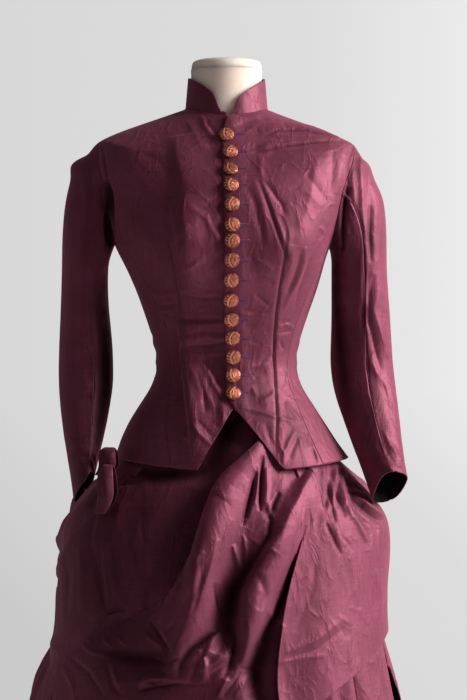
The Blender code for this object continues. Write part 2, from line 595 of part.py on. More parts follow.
def bodice_front(side, collection):
    """A front: its first columns run beside the buttons, and the others share the rest."""
    beside = ((0.007, UNDERLAP + 0.0035), (0.015, UNDERLAP + 0.0165)) if side > 0 else ((0.010, LAP + 0.004),)
    columns = 6
    places = []
    for z in front_levels():
        start, end = front_centre(z, side), front_outer(z, side)
        across = [start]
        for from_edge, from_buttons in beside:
            past = side * BODICE_SHAPE.degrees_at(button_line(z) + side * from_buttons, z)
            half = BODICE_SHAPE.size("half", z)
            across.append(max(start + math.degrees(from_edge / half), past))
        rest = [across[-1] + (end - across[-1]) * c / columns for c in range(1, columns + 1)]
        places.append([(degrees, z) for degrees in across + rest])
    points, normals = sampled(lap_surface if side > 0 else bodice_surface, worn(places, side))
    name = "bodice_front_left" if side > 0 else "bodice_front_right"
    return wall(name, points, normals, collection)


def side_levels(top):
    """The low levels, stretched to end on a top height."""
    foot_z = armhole_place(FRONT_FOOT)[1]
    levels = LOW_LEVELS + [foot_z]
    return [HEM_Z + (z - HEM_Z) * (top - HEM_Z) / (foot_z - HEM_Z) for z in levels]


def bodice_side(side, collection):
    columns = BACK_FOOT - FRONT_FOOT
    stacks = []
    for c in range(columns + 1):
        top_degrees, top_z = armhole_place(FRONT_FOOT + c, side)
        stack = []
        for z in side_levels(top_z):
            left = seam_degrees(SIDE_FRONT_SEAM[side], FRONT_FOOT, z, side)
            right = seam_degrees(SIDE_BACK_SEAM, BACK_FOOT, z, side)
            degrees = left + (right - left) * c / columns
            share = (z - HEM_Z) / (top_z - HEM_Z)
            if 0 < c < columns:
                degrees += (top_degrees - degrees) * share**5
            stack.append((degrees, z))
        stacks.append(stack)
    places = [list(row) for row in zip(*stacks)]
    points, normals = sampled(bodice_surface, worn(places, side))
    name = "bodice_side_left" if side > 0 else "bodice_side_right"
    return wall(name, points, normals, collection)


def bodice_side_back(side, collection):
    columns = BACK_TOP - BACK_FOOT
    low = side_levels(armhole_place(BACK_FOOT)[1])
    left_levels = []
    for i, z in enumerate(low):
        left_levels.append(z)
        if i < columns:
            left_levels.append((z + low[i + 1]) / 2)
    right_levels = low[:-1] + [armhole_place(s)[1] for s in range(BACK_FOOT, BACK_TOP + 1)]
    stacks = []
    for c in range(columns + 1):
        part = c / columns
        top_degrees, top_z = armhole_place(BACK_FOOT + c)
        levels = [a + (b - a) * part for a, b in zip(left_levels, right_levels)]
        stretch = (top_z - HEM_Z) / (levels[-1] - HEM_Z)
        stack = []
        for z in [HEM_Z + (level - HEM_Z) * stretch for level in levels]:
            left = seam_degrees(SIDE_BACK_SEAM, BACK_FOOT, z, side)
            if z > armhole_place(BACK_FOOT)[1]:
                left = armhole_degrees(z, True)
            right = seam_degrees(BACK_SEAM, BACK_TOP, z, side)
            share = (z - HEM_Z) / (top_z - HEM_Z)
            degrees = left + (right - left) * part
            if 0 < c < columns:
                degrees += (top_degrees - degrees) * share**6
            stack.append((degrees, z))
        stacks.append(stack)
    places = [list(row) for row in zip(*stacks)]
    points, normals = sampled(bodice_surface, worn(places, side))
    edge = 0 if side > 0 else columns
    straight = [(2 * i + 1, edge) for i in range(columns)]
    name = "bodice_side_back_left" if side > 0 else "bodice_side_back_right"
    return wall(name, points, normals, collection, straight=straight)


def bodice_back(side, collection):
    columns = 5
    foot_z, top_z, tip_z = (armhole_place(s)[1] for s in (BACK_FOOT, BACK_TOP, 0))
    levels = side_levels(foot_z)[:-1] + [armhole_place(s)[1] for s in range(BACK_FOOT, 21)]
    places = []
    for z in levels + SHOULDER_LEVELS:
        if z <= top_z + 1e-6:
            start = seam_degrees(BACK_SEAM, BACK_TOP, z, side)
        else:
            start = armhole_degrees(z, True) if z < tip_z - 1e-6 else 90.0
        places.append([(start + (180.0 - start) * c / columns, z) for c in range(columns + 1)])
    points, normals = sampled(bodice_surface, worn(places, side))
    name = "bodice_back_left" if side > 0 else "bodice_back_right"
    return wall(name, points, normals, collection)


# ---------------------------------------------------------------- collar

COLLAR_HEIGHT = 0.0465
COLLAR_LEAN = 0.004            # how far its top leans in to the neck
COLLAR_GAP = 0.0008            # its foot above the neck seam
CollarEdge = namedtuple("CollarEdge", "degrees share")
COLLAR_TOP = {                 # the top edge: how much of the height it has at each angle
    1: [CollarEdge(3.5, 0.05), CollarEdge(7.0, 0.28), CollarEdge(10.5, 0.46), CollarEdge(16.0, 0.62),
        CollarEdge(24.0, 0.72), CollarEdge(45.0, 0.86), CollarEdge(90.0, 1.0), CollarEdge(180.0, 1.04)],
    -1: [CollarEdge(4.0, 0.05), CollarEdge(12.0, 0.12), CollarEdge(16.0, 0.22), CollarEdge(20.0, 0.50),
         CollarEdge(25.0, 0.66), CollarEdge(32.0, 0.76), CollarEdge(45.0, 0.86), CollarEdge(90.0, 1.0),
         CollarEdge(180.0, 1.04)],
}


def collar_surface(degrees, share):
    """The collar's outer face, from the neck seam up; share 1 is its full height."""
    foot = bodice_surface(degrees, NECK_Z)
    out = BODICE_SHAPE.outward(degrees, NECK_Z)
    rise = share * COLLAR_HEIGHT
    return foot - out * (COLLAR_LEAN * share) + np.array([0.0, 0.0, COLLAR_GAP + rise])


def collar(side, collection):
    edge = COLLAR_TOP[side]
    angles = [e.degrees for e in edge if e.degrees < 45.0]
    angles += [45.0, 60.0, 75.0, 90.0, 108.0, 126.0, 144.0, 162.0, 180.0]
    shares = [0.0, 0.35, 0.7, 1.0]
    tops = [smooth_at([e.degrees for e in edge], [e.share for e in edge], a) for a in angles]
    places = [[(a, share * top) for a, top in zip(angles, tops)] for share in shares]
    points, normals = sampled(collar_surface, worn(places, side))
    name = "collar_left" if side > 0 else "collar_right"
    return wall(name, points, normals, collection, sides=("left", "right"))


# ---------------------------------------------------------------- sleeves

def sleeve_ring(row):
    """A ring of the sleeve below the armpit, in the armhole's order, on the wearer's left."""
    ring = []
    for step in range(ARMHOLE_STEPS):
        turn = math.radians(90.0 - 360.0 * step / ARMHOLE_STEPS)
        out, back = row.across * math.sin(turn), -row.deep * math.cos(turn)
        ring.append([row.out + out, row.y + back, row.z + row.tilt_out * out + row.tilt_back * back])
    return np.array(ring)


def sleeve_head(side):
    """The armhole as the sleeve meets it: its places, points, the ways the sleeve leaves, and normals."""
    places = [armhole_place(step, side) for step in range(ARMHOLE_STEPS)]
    places = [(side * degrees, z) for degrees, z in places]
    points = np.array([bodice_surface(d, z) for d, z in places])
    body = np.array([normal_of(bodice_surface, d, z) for d, z in places])
    low = [(1.0 - math.cos(2.0 * math.pi * step / ARMHOLE_STEPS)) / 2.0 for step in range(ARMHOLE_STEPS)]
    slopes = [math.radians(HEAD_SLOPE[0] + HEAD_SLOPE[1] * share**1.5) for share in low]
    leave = np.array([[side * math.cos(slope), 0.0, -math.sin(slope)] for slope in slopes])
    rounds = np.roll(points, -1, axis=0) - np.roll(points, 1, axis=0)
    sleeve_side = np.cross(leave, rounds)
    sleeve_side /= np.linalg.norm(sleeve_side, axis=1, keepdims=True)
    away = points - points.mean(axis=0)
    sleeve_side *= np.sign((away * sleeve_side).sum(axis=1, keepdims=True))
    shared = body + sleeve_side
    shared /= np.linalg.norm(shared, axis=1, keepdims=True)
    return places, points, leave, shared


def sleeve_grid(rows, side):
    """The whole sleeve, from the armhole over the cap to the cuff: points and normals."""
    _, head, leave, shared = sleeve_head(side)
    low = sleeve_ring(rows[0]) * np.array([side, 1.0, 1.0])
    reach = np.linalg.norm(low - head, axis=1, keepdims=True)
    down = np.array([0.0, 0.0, -1.0])
    rings = [head + leave * SEAM]
    for t in CAP_STEPS:
        rings.append(
            (2 * t**3 - 3 * t**2 + 1) * head
            + (t**3 - 2 * t**2 + t) * reach * leave * CAP_FULLNESS
            + (3 * t**2 - 2 * t**3) * low
            + (t**3 - t**2) * reach * down
        )
    rings += [sleeve_ring(row) * np.array([side, 1.0, 1.0]) for row in rows]
    points = np.array(rings)
    across = np.roll(points, -1, axis=1) - np.roll(points, 1, axis=1)
    along = np.gradient(points, axis=0)
    normals = np.cross(across, along)
    normals /= np.linalg.norm(normals, axis=2, keepdims=True)
    middle = points.mean(axis=1, keepdims=True)
    normals *= np.sign(((points - middle) * normals).sum(axis=2, keepdims=True))
    normals[0] = shared
    return points, normals


def sleeve(side, collection):
    points, normals = sleeve_grid(LEFT_SLEEVE if side > 0 else RIGHT_SLEEVE, side)
    front, back = SEAM_COLUMNS[side]
    wrapped = list(range(back, ARMHOLE_STEPS)) + list(range(0, front + 1))
    word = "left" if side > 0 else "right"
    for name, columns in (("sleeve_upper", wrapped), ("sleeve_under", list(range(front, back + 1)))):
        wall(f"{name}_{word}", points[:, columns], normals[:, columns], collection,
             sides=("high", "left", "right"))


# ---------------------------------------------------------------- skirts

UNDER_SHAPE, FLOUNCE_SHAPE, OVER_SHAPE = Contour(UNDERSKIRT), Contour(FLOUNCE), Contour(OVERSKIRT)
QUARTERS = {"front": (-46.0, 46.0), "left": (46.0, 134.0), "back": (134.0, 226.0), "right": (226.0, 314.0)}


def on_line(drape_line, share):
    """(degrees, z, lift) of a drapery line at a share of its length."""
    shares = [p.share for p in drape_line.places]
    return np.array([smooth_at(shares, [p[i] for p in drape_line.places], share) for i in (1, 2, 3)])


def drape_point(lines, column, share):
    """A point of the drapery: between two lines it swells from one lift to the other."""
    index = 0
    while column > lines[index].columns and index < len(lines) - 2:
        column -= lines[index].columns
        index += 1
    t = column / lines[index].columns
    near, far = on_line(lines[index], share), on_line(lines[index + 1], share)
    degrees, z, _ = near * (1 - t) + far * t
    lift = near[2] + (far[2] - near[2]) * t * t * (3 - 2 * t)
    return OVER_SHAPE.point(degrees, z) + OVER_SHAPE.outward(degrees, z) * lift


def draped(name, lines, rows, collection):
    """A piece of drapery between its first and last lines."""
    columns = sum(entry.columns for entry in lines)
    points = np.array([
        [drape_point(lines, c, 1.0 - r / rows) for c in range(columns + 1)] for r in range(rows + 1)
    ])
    across = np.gradient(points, axis=1)
    along = np.gradient(points, axis=0)
    normals = np.cross(across, along)
    normals /= np.linalg.norm(normals, axis=2, keepdims=True)
    return wall(name, points, normals, collection)


def underskirt(collection):
    levels = [0.642, 0.70, 0.76, 0.81, 0.85, 0.885, 0.92, 0.955, 0.9947]
    for word, (start, end) in QUARTERS.items():
        places = [[(start + (end - start) * c / 5, z) for c in range(6)] for z in levels]
        wall(f"underskirt_{word}", *sampled(UNDER_SHAPE.point, places), collection)


def pleat_rise(share):
    """A knife pleat's height across its width: it swells over its face and drops at its fold."""
    if share < PLEAT_FOLD:
        return math.sin(0.5 * math.pi * share / PLEAT_FOLD)
    return (1.0 - share) / (1.0 - PLEAT_FOLD)


def flounce(collection):
    """Four lengths of knife pleats that meet at the bottom of a fold."""
    bounds = {"front": (-5, 5), "left": (5, 14), "back": (14, 24), "right": (24, 33)}
    levels = [SKIRT_HEM_Z, 0.22, 0.43, FLOUNCE_TOP_Z]
    for word, (first, last) in bounds.items():
        shares = [n + t for n in range(first, last) for t in (0.0, 0.45, PLEAT_FOLD)] + [last]
        points = []
        for z in levels:
            depth = PLEAT_DEPTH * (1.0 - PLEAT_PRESSED * ease(PLEAT_PRESSED_Z, FLOUNCE_TOP_Z, z))
            points.append([
                FLOUNCE_SHAPE.point(s * 360.0 / PLEATS, z)
                + FLOUNCE_SHAPE.outward(s * 360.0 / PLEATS, z) * depth * pleat_rise(s % 1.0)
                for s in shares
            ])
        points = np.array(points)
        normals = np.cross(np.gradient(points, axis=1), np.gradient(points, axis=0))
        normals /= np.linalg.norm(normals, axis=2, keepdims=True)
        wall(f"flounce_{word}", points, normals, collection)


# ---------------------------------------------------------------- buttons, form and stand

def side_height(z):
    """The height at the side of the bodice section that crosses the front at a height."""
    side_z = z
    for _ in range(20):
        side_z = z + BODICE_SHAPE.size("front_drop", side_z)
    return side_z


def button(index, entry, collection):
    """A domed button on the lap, facing straight out of it."""
    side_z = side_height(entry.z)
    degrees = BODICE_SHAPE.degrees_at(entry.x, side_z)
    foot, out = lap_surface(degrees, side_z), normal_of(lap_surface, degrees, side_z)
    made = turned(f"button_{index:02d}", BUTTON_PROFILE, 12, COPPER, collection)
    made.location = foot + out * BUTTON_GAP
    made.rotation_euler = Vector(out).to_track_quat("Z", "Y").to_euler()


def form(collection):
    """The torso and neck of the form, and its cap."""
    shape = Contour(FORM)
    levels = [0.790, 0.830, 0.885, 0.930, 0.965, 1.000, 1.045, 1.090, 1.138, 1.185, 1.230, 1.276,
              1.310, 1.335, 1.362, 1.390, 1.425, 1.462]
    rings = [[tuple(shape.point(20.0 * c, z)) for c in range(18)] for z in levels]
    loft("form_torso", rings, FORM_CLOTH, collection)
    turned("form_neck_cap", [(0.0, 1.4775), (0.046, 1.4765), (0.0525, 1.473), (0.0548, 1.4675),
                             (0.0545, 1.4625), (0.0, 1.4625)], 18, FORM_WOOD, collection)


def stand(collection):
    turned("stand_pole", [(0.0, 0.7895), (0.0175, 0.7895), (0.0175, 0.0255), (0.0, 0.0255)], 16,
           STAND_IRON, collection)
    turned("stand_base", [(0.0, 0.025), (0.060, 0.025), (0.185, 0.012), (0.195, 0.007), (0.195, 0.0),
                          (0.0, 0.0)], 32, STAND_IRON, collection)


def side_loop(collection):
    """A loop of cloth that hangs at the wearer's right hip."""
    across, tall, width = LOOP_SIZE
    axis = np.array([math.sin(math.radians(LOOP_TURN)), -math.cos(math.radians(LOOP_TURN)), 0.0])
    level = np.array([axis[1], -axis[0], 0.0])
    rings, outs = [], []
    for share in (0.0, 0.5, 1.0):
        ring, out = [], []
        for step in range(LOOP_STEPS):
            turn = 2.0 * math.pi * step / LOOP_STEPS
            out.append(level * math.cos(turn) / across + np.array([0.0, 0.0, math.sin(turn) / tall]))
            ring.append(
                np.array(LOOP_CENTRE) + axis * width * (share - 0.5)
                + level * across * math.cos(turn) * (1.0 - LOOP_NARROW * math.sin(turn))
                + np.array([0.0, 0.0, tall * math.sin(turn)])
            )
        rings.append(ring)
        outs.append(out)
    normals = np.array(outs)
    normals /= np.linalg.norm(normals, axis=2, keepdims=True)
    wall("side_loop", np.array(rings), normals, collection, sides=(), closed=True)


def main():
    clear_scene()
    collection = dress_collection()
    for side in (1, -1):
        places, _, _, shared = sleeve_head(side)
        RIM_NORMALS.update({rim_key(d, z): normal for (d, z), normal in zip(places, shared)})
    form(collection)
    stand(collection)
    for side in (1, -1):
        bodice_front(side, collection)
        bodice_side(side, collection)
        bodice_side_back(side, collection)
        bodice_back(side, collection)
        collar(side, collection)
        sleeve(side, collection)
    for index, entry in enumerate(BUTTONS, 1):
        button(index, entry, collection)
    underskirt(collection)
    flounce(collection)
    draped("side_panel", SIDE_PANEL, 16, collection)
    draped("apron", APRON, 30, collection)
    draped("big_panel", BIG_PANEL, 16, collection)
    draped("back_puff", BACK_PUFF, 14, collection)
    draped("tail", TAIL, 10, collection)
    side_loop(collection)


main()
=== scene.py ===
"""A bustle dress of shot silk taffeta on its limbless dress form.

The frame holds every piece at its real size. This script cuts each cloth wall down to its outer
face, refines it, presses the creases in, and gives it a thin lined shell. It then works the
buttons, buttonholes, darts and stitching, and lights the whole on a pale floor.
"""
from __future__ import annotations

import logging
import math
from dataclasses import dataclass
from enum import Enum
from typing import Any, Sequence

import bmesh
import bpy
import numpy as np
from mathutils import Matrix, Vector, noise
from mathutils.bvhtree import BVHTree
from mathutils.kdtree import KDTree


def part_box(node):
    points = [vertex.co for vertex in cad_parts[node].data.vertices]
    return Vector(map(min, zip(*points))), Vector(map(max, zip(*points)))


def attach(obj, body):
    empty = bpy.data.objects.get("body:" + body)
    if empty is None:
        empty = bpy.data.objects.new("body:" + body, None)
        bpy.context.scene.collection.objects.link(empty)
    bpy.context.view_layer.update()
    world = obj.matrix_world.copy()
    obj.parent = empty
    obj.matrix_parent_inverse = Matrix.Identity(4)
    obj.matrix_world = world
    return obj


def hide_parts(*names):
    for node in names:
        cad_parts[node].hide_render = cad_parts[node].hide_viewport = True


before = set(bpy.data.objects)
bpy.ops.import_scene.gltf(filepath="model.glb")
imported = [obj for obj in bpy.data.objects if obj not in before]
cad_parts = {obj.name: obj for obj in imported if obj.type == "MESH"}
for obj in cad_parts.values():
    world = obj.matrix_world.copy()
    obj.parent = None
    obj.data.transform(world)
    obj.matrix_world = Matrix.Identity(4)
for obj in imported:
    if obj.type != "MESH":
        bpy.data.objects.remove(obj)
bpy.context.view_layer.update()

log = logging.getLogger("bustle_dress")
MM = 0.001
Array = np.ndarray


# ---------------------------------------------------------------- colours and nodes

def linear(code: str) -> tuple[float, float, float, float]:
    """Turns an sRGB hex colour into a linear one.

    Args:
        code: the colour, such as "#5A2B3C".

    Returns:
        Red, green, blue and an alpha of 1.
    """
    parts = [int(code[i:i + 2], 16) / 255 for i in (1, 3, 5)]
    r, g, b = (c / 12.92 if c <= 0.04045 else ((c + 0.055) / 1.055) ** 2.4 for c in parts)
    return r, g, b, 1.0


def add_node(tree: bpy.types.NodeTree, kind: str, inputs: dict[Any, Any] | None = None,
             stops: Sequence[tuple[float, str]] = (), **settings: Any) -> bpy.types.Node:
    """Adds one node with its settings, values and links.

    Args:
        tree: the tree it goes in.
        kind: the node's type name.
        inputs: a value or an output socket for each input, by name or number.
        stops: where each colour of its ramp lies, if it has one, and that colour.
        settings: the node's own properties.

    Returns:
        The new node.
    """
    node = tree.nodes.new(kind)
    for key, value in settings.items():
        setattr(node, key, value)
    for i, (place, colour) in enumerate(stops):
        made = node.color_ramp.elements
        stop = made[i] if i < len(made) else made.new(place)
        stop.position, stop.color = place, linear(colour)
    for key, value in (inputs or {}).items():
        if isinstance(value, bpy.types.NodeSocket):
            tree.links.new(value, node.inputs[key])
        else:
            node.inputs[key].default_value = value
    return node


def new_material(name: str) -> tuple[bpy.types.Material, bpy.types.NodeTree, bpy.types.Node]:
    """Makes a material with its one Principled shader.

    Args:
        name: the finish's name.

    Returns:
        The material, its tree and the shader.
    """
    made = bpy.data.materials.new(name)
    made.use_nodes = True
    return made, made.node_tree, made.node_tree.nodes["Principled BSDF"]


# ---------------------------------------------------------------- finishes

@dataclass(frozen=True)
class ShotSilk:
    """Silk taffeta, plain woven from a dark warp and a rose weft: it looks near black face on
    and in shade, and flashes mauve pink where it turns to the light. Shade is also painted on
    it: where a point attribute marks painted shade, its colour is darkened and its gleam taken out."""
    name: str = "shot_silk_taffeta"
    face: str = "#57202F"          # warp and weft together, seen square on
    flash: str = "#B5637C"         # the weft, seen along the cloth
    faded: str = "#73344A"
    # the colour of the painted shade
    deep: str = "#1B090E"
    gloss: str = "#E9A7B8"
    bloom: str = "#E08CA4"         # the tint of its soft sheen
    roughness: float = 0.49
    wear: tuple[float, float] = (-0.05, 0.07)     # what use takes from the roughness and adds to it
    metallic: float = 0.30         # the silk's hard coloured gleam, which is taken out where shade is painted
    specular: float = 0.5
    gleam_in_painted_shade: float = 0.03       # what is left of both where shade is painted in full
    sheen: float = 0.15
    sheen_roughness: float = 0.4
    patch_mm: float = 111.1        # from one faded patch to the next
    slub_mm: float = 1.5           # real threads are near 0.15 mm: only every tenth or so can show
    slub_run_mm: float = 45.0
    slub_bump_mm: float = 0.12
    crinkle_mm: float = 26.0       # between the fine creases that crushing leaves in crisp silk
    crinkle_run: float = 0.45      # they run about twice as far up as across
    crinkle_bump_mm: float = 0.9

    def material(self) -> bpy.types.Material:
        """Builds the finish.

        Returns:
            The material.
        """
        made, tree, shader = new_material(self.name)
        place = add_node(tree, "ShaderNodeTexCoord").outputs["Object"]
        threads = []
        for thin in ((2,), (0, 1)):        # the weft lies level, the warp upright
            size = [self.slub_run_mm * MM] * 3
            for axis in thin:
                size[axis] = self.slub_mm * MM
            along = add_node(tree, "ShaderNodeMapping", {
                "Vector": place, "Scale": tuple(1 / one for one in size)})
            threads.append(add_node(tree, "ShaderNodeTexNoise", {
                "Vector": along.outputs[0], "Scale": 1.0, "Detail": 2.0,
                "Roughness": 0.7}).outputs[0])
        slubs = add_node(tree, "ShaderNodeMix", {0: 0.45, 2: threads[0], 3: threads[1]}).outputs[0]
        worn = add_node(tree, "ShaderNodeTexNoise", {
            "Vector": place, "Scale": 1 / (self.patch_mm * MM), "Detail": 4.0,
            "Distortion": 0.4}).outputs[0]
        crushed = add_node(tree, "ShaderNodeMapping", {
            "Vector": place, "Scale": (1.0, 1.0, self.crinkle_run)})
        crinkles = add_node(tree, "ShaderNodeTexNoise", {
            "Vector": crushed.outputs[0], "Scale": 1 / (self.crinkle_mm * MM), "Detail": 5.0,
            "Roughness": 0.68, "Lacunarity": 2.3, "Offset": 0.9, "Gain": 1.2, "Distortion": 0.7},
            noise_type="RIDGED_MULTIFRACTAL", normalize=True).outputs[0]
        body = add_node(tree, "ShaderNodeValToRGB", {0: worn}, (
            (0.35, self.face), (0.70, self.faded))).outputs["Color"]
        edge = add_node(tree, "ShaderNodeLayerWeight", {"Blend": 0.35}).outputs["Facing"]
        shot = add_node(tree, "ShaderNodeMix", {0: edge, 6: body, 7: linear(self.flash)},
                        data_type="RGBA")
        streak = add_node(tree, "ShaderNodeValToRGB", {0: slubs}, (
            (0.38, "#E3E3E3"), (0.62, "#FFFFFF"))).outputs["Color"]
        woven = add_node(tree, "ShaderNodeMix", {0: 1.0, 6: shot.outputs[2], 7: streak},
                         data_type="RGBA", blend_type="MULTIPLY")
        # Painted shade: where the folds mark it, the colour is darkened towards the deep colour and
        # the gleam is taken out.
        painted_shade = add_node(tree, "ShaderNodeAttribute", attribute_name="painted_shade").outputs["Fac"]
        colour = add_node(tree, "ShaderNodeMix", {
            0: painted_shade, 6: woven.outputs[2], 7: linear(self.deep)}, data_type="RGBA")
        rough = add_node(tree, "ShaderNodeMapRange", {
            "Value": worn, "To Min": self.roughness + self.wear[0],
            "To Max": self.roughness + self.wear[1]})
        ribs = add_node(tree, "ShaderNodeBump", {
            "Height": slubs, "Strength": 0.25, "Distance": self.slub_bump_mm * MM})
        bump = add_node(tree, "ShaderNodeBump", {
            "Height": crinkles, "Strength": 0.5, "Distance": self.crinkle_bump_mm * MM,
            "Normal": ribs.outputs[0]})
        gleam = [add_node(tree, "ShaderNodeMapRange", {
            "Value": painted_shade, "To Min": most, "To Max": self.gleam_in_painted_shade})
                 for most in (self.metallic, self.specular)]
        for socket, value in (("Base Color", colour.outputs[2]), ("Roughness", rough.outputs[0]),
                              ("Metallic", gleam[0].outputs[0]), ("Normal", bump.outputs[0]),
                              ("Specular IOR Level", gleam[1].outputs[0])):
            tree.links.new(value, shader.inputs[socket])
        shader.inputs["Specular Tint"].default_value = linear(self.gloss)
        shader.inputs["Sheen Weight"].default_value = self.sheen
        shader.inputs["Sheen Roughness"].default_value = self.sheen_roughness
        shader.inputs["Sheen Tint"].default_value = linear(self.bloom)
        return made


@dataclass(frozen=True)
class Plain:
    """A finish of one colour that varies a little, such as glazed cotton, enamel or thread."""
    name: str
    dark: str
    light: str
    roughness: float
    metallic: float = 0.0
    grain_mm: float = 4.0
    bump_mm: float = 0.05
    sheen: float = 0.0
    specular: float = 0.5
    depth_mm: float = 0.0          # how far light travels inside it
    stretch: tuple[float, float, float] = (1.0, 1.0, 1.0)

    def material(self) -> bpy.types.Material:
        """Builds the finish.

        Returns:
            The material.
        """
        made, tree, shader = new_material(self.name)
        place = add_node(tree, "ShaderNodeTexCoord").outputs["Object"]
        mapped = add_node(tree, "ShaderNodeMapping", {"Vector": place, "Scale": self.stretch})
        grain = add_node(tree, "ShaderNodeTexNoise", {
            "Vector": mapped.outputs[0], "Scale": 1 / (self.grain_mm * MM),
            "Detail": 4.0}).outputs[0]
        bump = add_node(tree, "ShaderNodeBump", {
            "Height": grain, "Strength": 0.5, "Distance": self.bump_mm * MM})
        colour = add_node(tree, "ShaderNodeValToRGB", {0: grain}, (
            (0.35, self.dark), (0.65, self.light))).outputs["Color"]
        tree.links.new(colour, shader.inputs["Base Color"])
        tree.links.new(bump.outputs[0], shader.inputs["Normal"])
        for socket, value in (("Roughness", self.roughness), ("Metallic", self.metallic),
                              ("Sheen Weight", self.sheen), ("Specular IOR Level", self.specular),
                              ("Subsurface Weight", float(self.depth_mm > 0.0)),
                              ("Subsurface Scale", self.depth_mm * MM),
                              ("Subsurface Radius", (1.0, 1.0, 1.0))):
            shader.inputs[socket].default_value = value
        return made


@dataclass(frozen=True)
class StampedCopper:
    """Stamped copper, gilt once: bright on what stands up, brown in the hollows."""
    name: str = "stamped_copper"
    hollow: str = "#3E0F0C"
    raised: str = "#EE8F72"
    stain_mm: float = 2.381        # from one stain to the next
    roughness: tuple[float, float] = (0.25, 0.5)  # where it is clean, and where it is stained
    metallic: float = 0.75

    def material(self) -> bpy.types.Material:
        """Builds the finish, which reads the relief stored on the button.

        Returns:
            The material.
        """
        made, tree, shader = new_material(self.name)
        relief = add_node(tree, "ShaderNodeAttribute", attribute_name="relief").outputs["Fac"]
        place = add_node(tree, "ShaderNodeTexCoord").outputs["Object"]
        stain = add_node(tree, "ShaderNodeTexNoise", {
            "Vector": place, "Scale": 1 / (self.stain_mm * MM), "Detail": 3.0}).outputs[0]
        mixed = add_node(tree, "ShaderNodeMath", {0: relief, 1: stain}, operation="ADD")
        colour = add_node(tree, "ShaderNodeValToRGB", {0: mixed.outputs[0]}, (
            (0.62, self.hollow), (1.0, self.raised))).outputs["Color"]
        tree.links.new(colour, shader.inputs["Base Color"])
        rough = add_node(tree, "ShaderNodeMapRange", {
            "Value": stain, "To Min": self.roughness[0], "To Max": self.roughness[1]})
        tree.links.new(rough.outputs[0], shader.inputs["Roughness"])
        shader.inputs["Metallic"].default_value = self.metallic
        return made


SILK = ShotSilk().material()
# Glazed cotton lining, seen only inside the cuffs, the neck and the open fronts: its near black is
# partly its own dark colour and partly painted shade, to keep these insides dark.
LINING = Plain("glazed_cotton", "#0B0609", "#150C12", 0.95, bump_mm=0.1, specular=0.15).material()
# Buttonhole twist: a hard two-ply silk, so each stitch has its own small gleam.
TWIST = Plain("purple_silk_twist", "#4A1C55", "#7A3D86", 0.45, grain_mm=1.0).material()
# Sewing silk, coloured near black so that its stitches paint the shadow line along the darts and in
# the buttonhole slits.
SHADOW_LINE_THREAD = Plain("painted_seam_shadow", "#1C0A11", "#2C1019", 0.65, grain_mm=1.0).material()
COPPER = StampedCopper().material()
# Cotton jersey over padding, pulled tight: matt, warm white, its ribs upright.
JERSEY = Plain("cotton_jersey", "#F3D8CA", "#FAE4D8", 0.85, grain_mm=1.4, bump_mm=0.12, sheen=0.2,
               depth_mm=12.0, stretch=(1.0, 1.0, 2.5)).material()
# Satin paint in the jersey's colour: smoother, with a broad soft gleam.
NECK_PAINT = Plain("satin_paint", "#F3D8CA", "#FAE4D8", 0.70, grain_mm=30.0, bump_mm=0.03,
                   depth_mm=12.0).material()
# Stove-enamelled cast iron: black, with a slight orange peel.
IRON = Plain("black_enamelled_iron", "#0E0E10", "#191A1C", 0.35, metallic=0.2, grain_mm=3.0,
             bump_mm=0.08).material()
# Matt paint on the studio's floor.
FLOOR_PAINT = Plain("studio_sweep", "#DCDCDC", "#E2E2E2", 0.9, grain_mm=900.0,
                    bump_mm=0.0).material()


# ---------------------------------------------------------------- where a crease lies

@dataclass(frozen=True)
class Eye:
    """Where the dress is looked at from in the front view, level with its waist."""
    azimuth: float = -5.0
    distance: float = 3.0
    height: float = 1.0425
    aside: float = 0.0105          # how far to the right of the axis it aims
    tall: float = 1.05             # how much of the dress the view takes in, top to bottom

    def axes(self) -> tuple[Array, Array]:
        """Gives the directions to the viewer's right and into the view."""
        a = math.radians(self.azimuth)
        return np.array([math.cos(a), math.sin(a), 0.0]), np.array([-math.sin(a), math.cos(a), 0.0])

    def aim(self) -> Array:
        """Gives the point at the middle of the view."""
        return self.axes()[0] * self.aside + np.array([0.0, 0.0, self.height])

    def place(self) -> Array:
        """Gives the eye's own place."""
        return self.aim() - self.axes()[1] * self.distance

    def way(self, across: float, up: float) -> Array:
        """Gives the direction from the eye to a point of the flat front view.

        Args:
            across: the point's distance from the axis to the viewer's right, in metres.
            up: its height, in metres.

        Returns:
            The direction, as long as the way there.
        """
        right, into = self.axes()
        return (right * (across - self.aside) + into * self.distance
                + np.array([0.0, 0.0, up - self.height]))

    def drop(self, across: float, up: float, cloth: BVHTree) -> tuple[Vector, Vector]:
        """Finds the place on a cloth that the front view shows at a flat point.

        Args:
            across: the point's distance from the axis to the viewer's right, in metres.
            up: its height, in metres.
            cloth: the cloth's faces.

        Returns:
            The place and the outward direction there.
        """
        way = Vector(self.way(across, up)).normalized()
        hit, normal, _, _ = cloth.ray_cast(Vector(self.place()), way)
        if hit is None:
            raise ValueError(f"no cloth at {across:.4f}, {up:.4f}")
        return hit, normal if normal.dot(way) < 0 else -normal


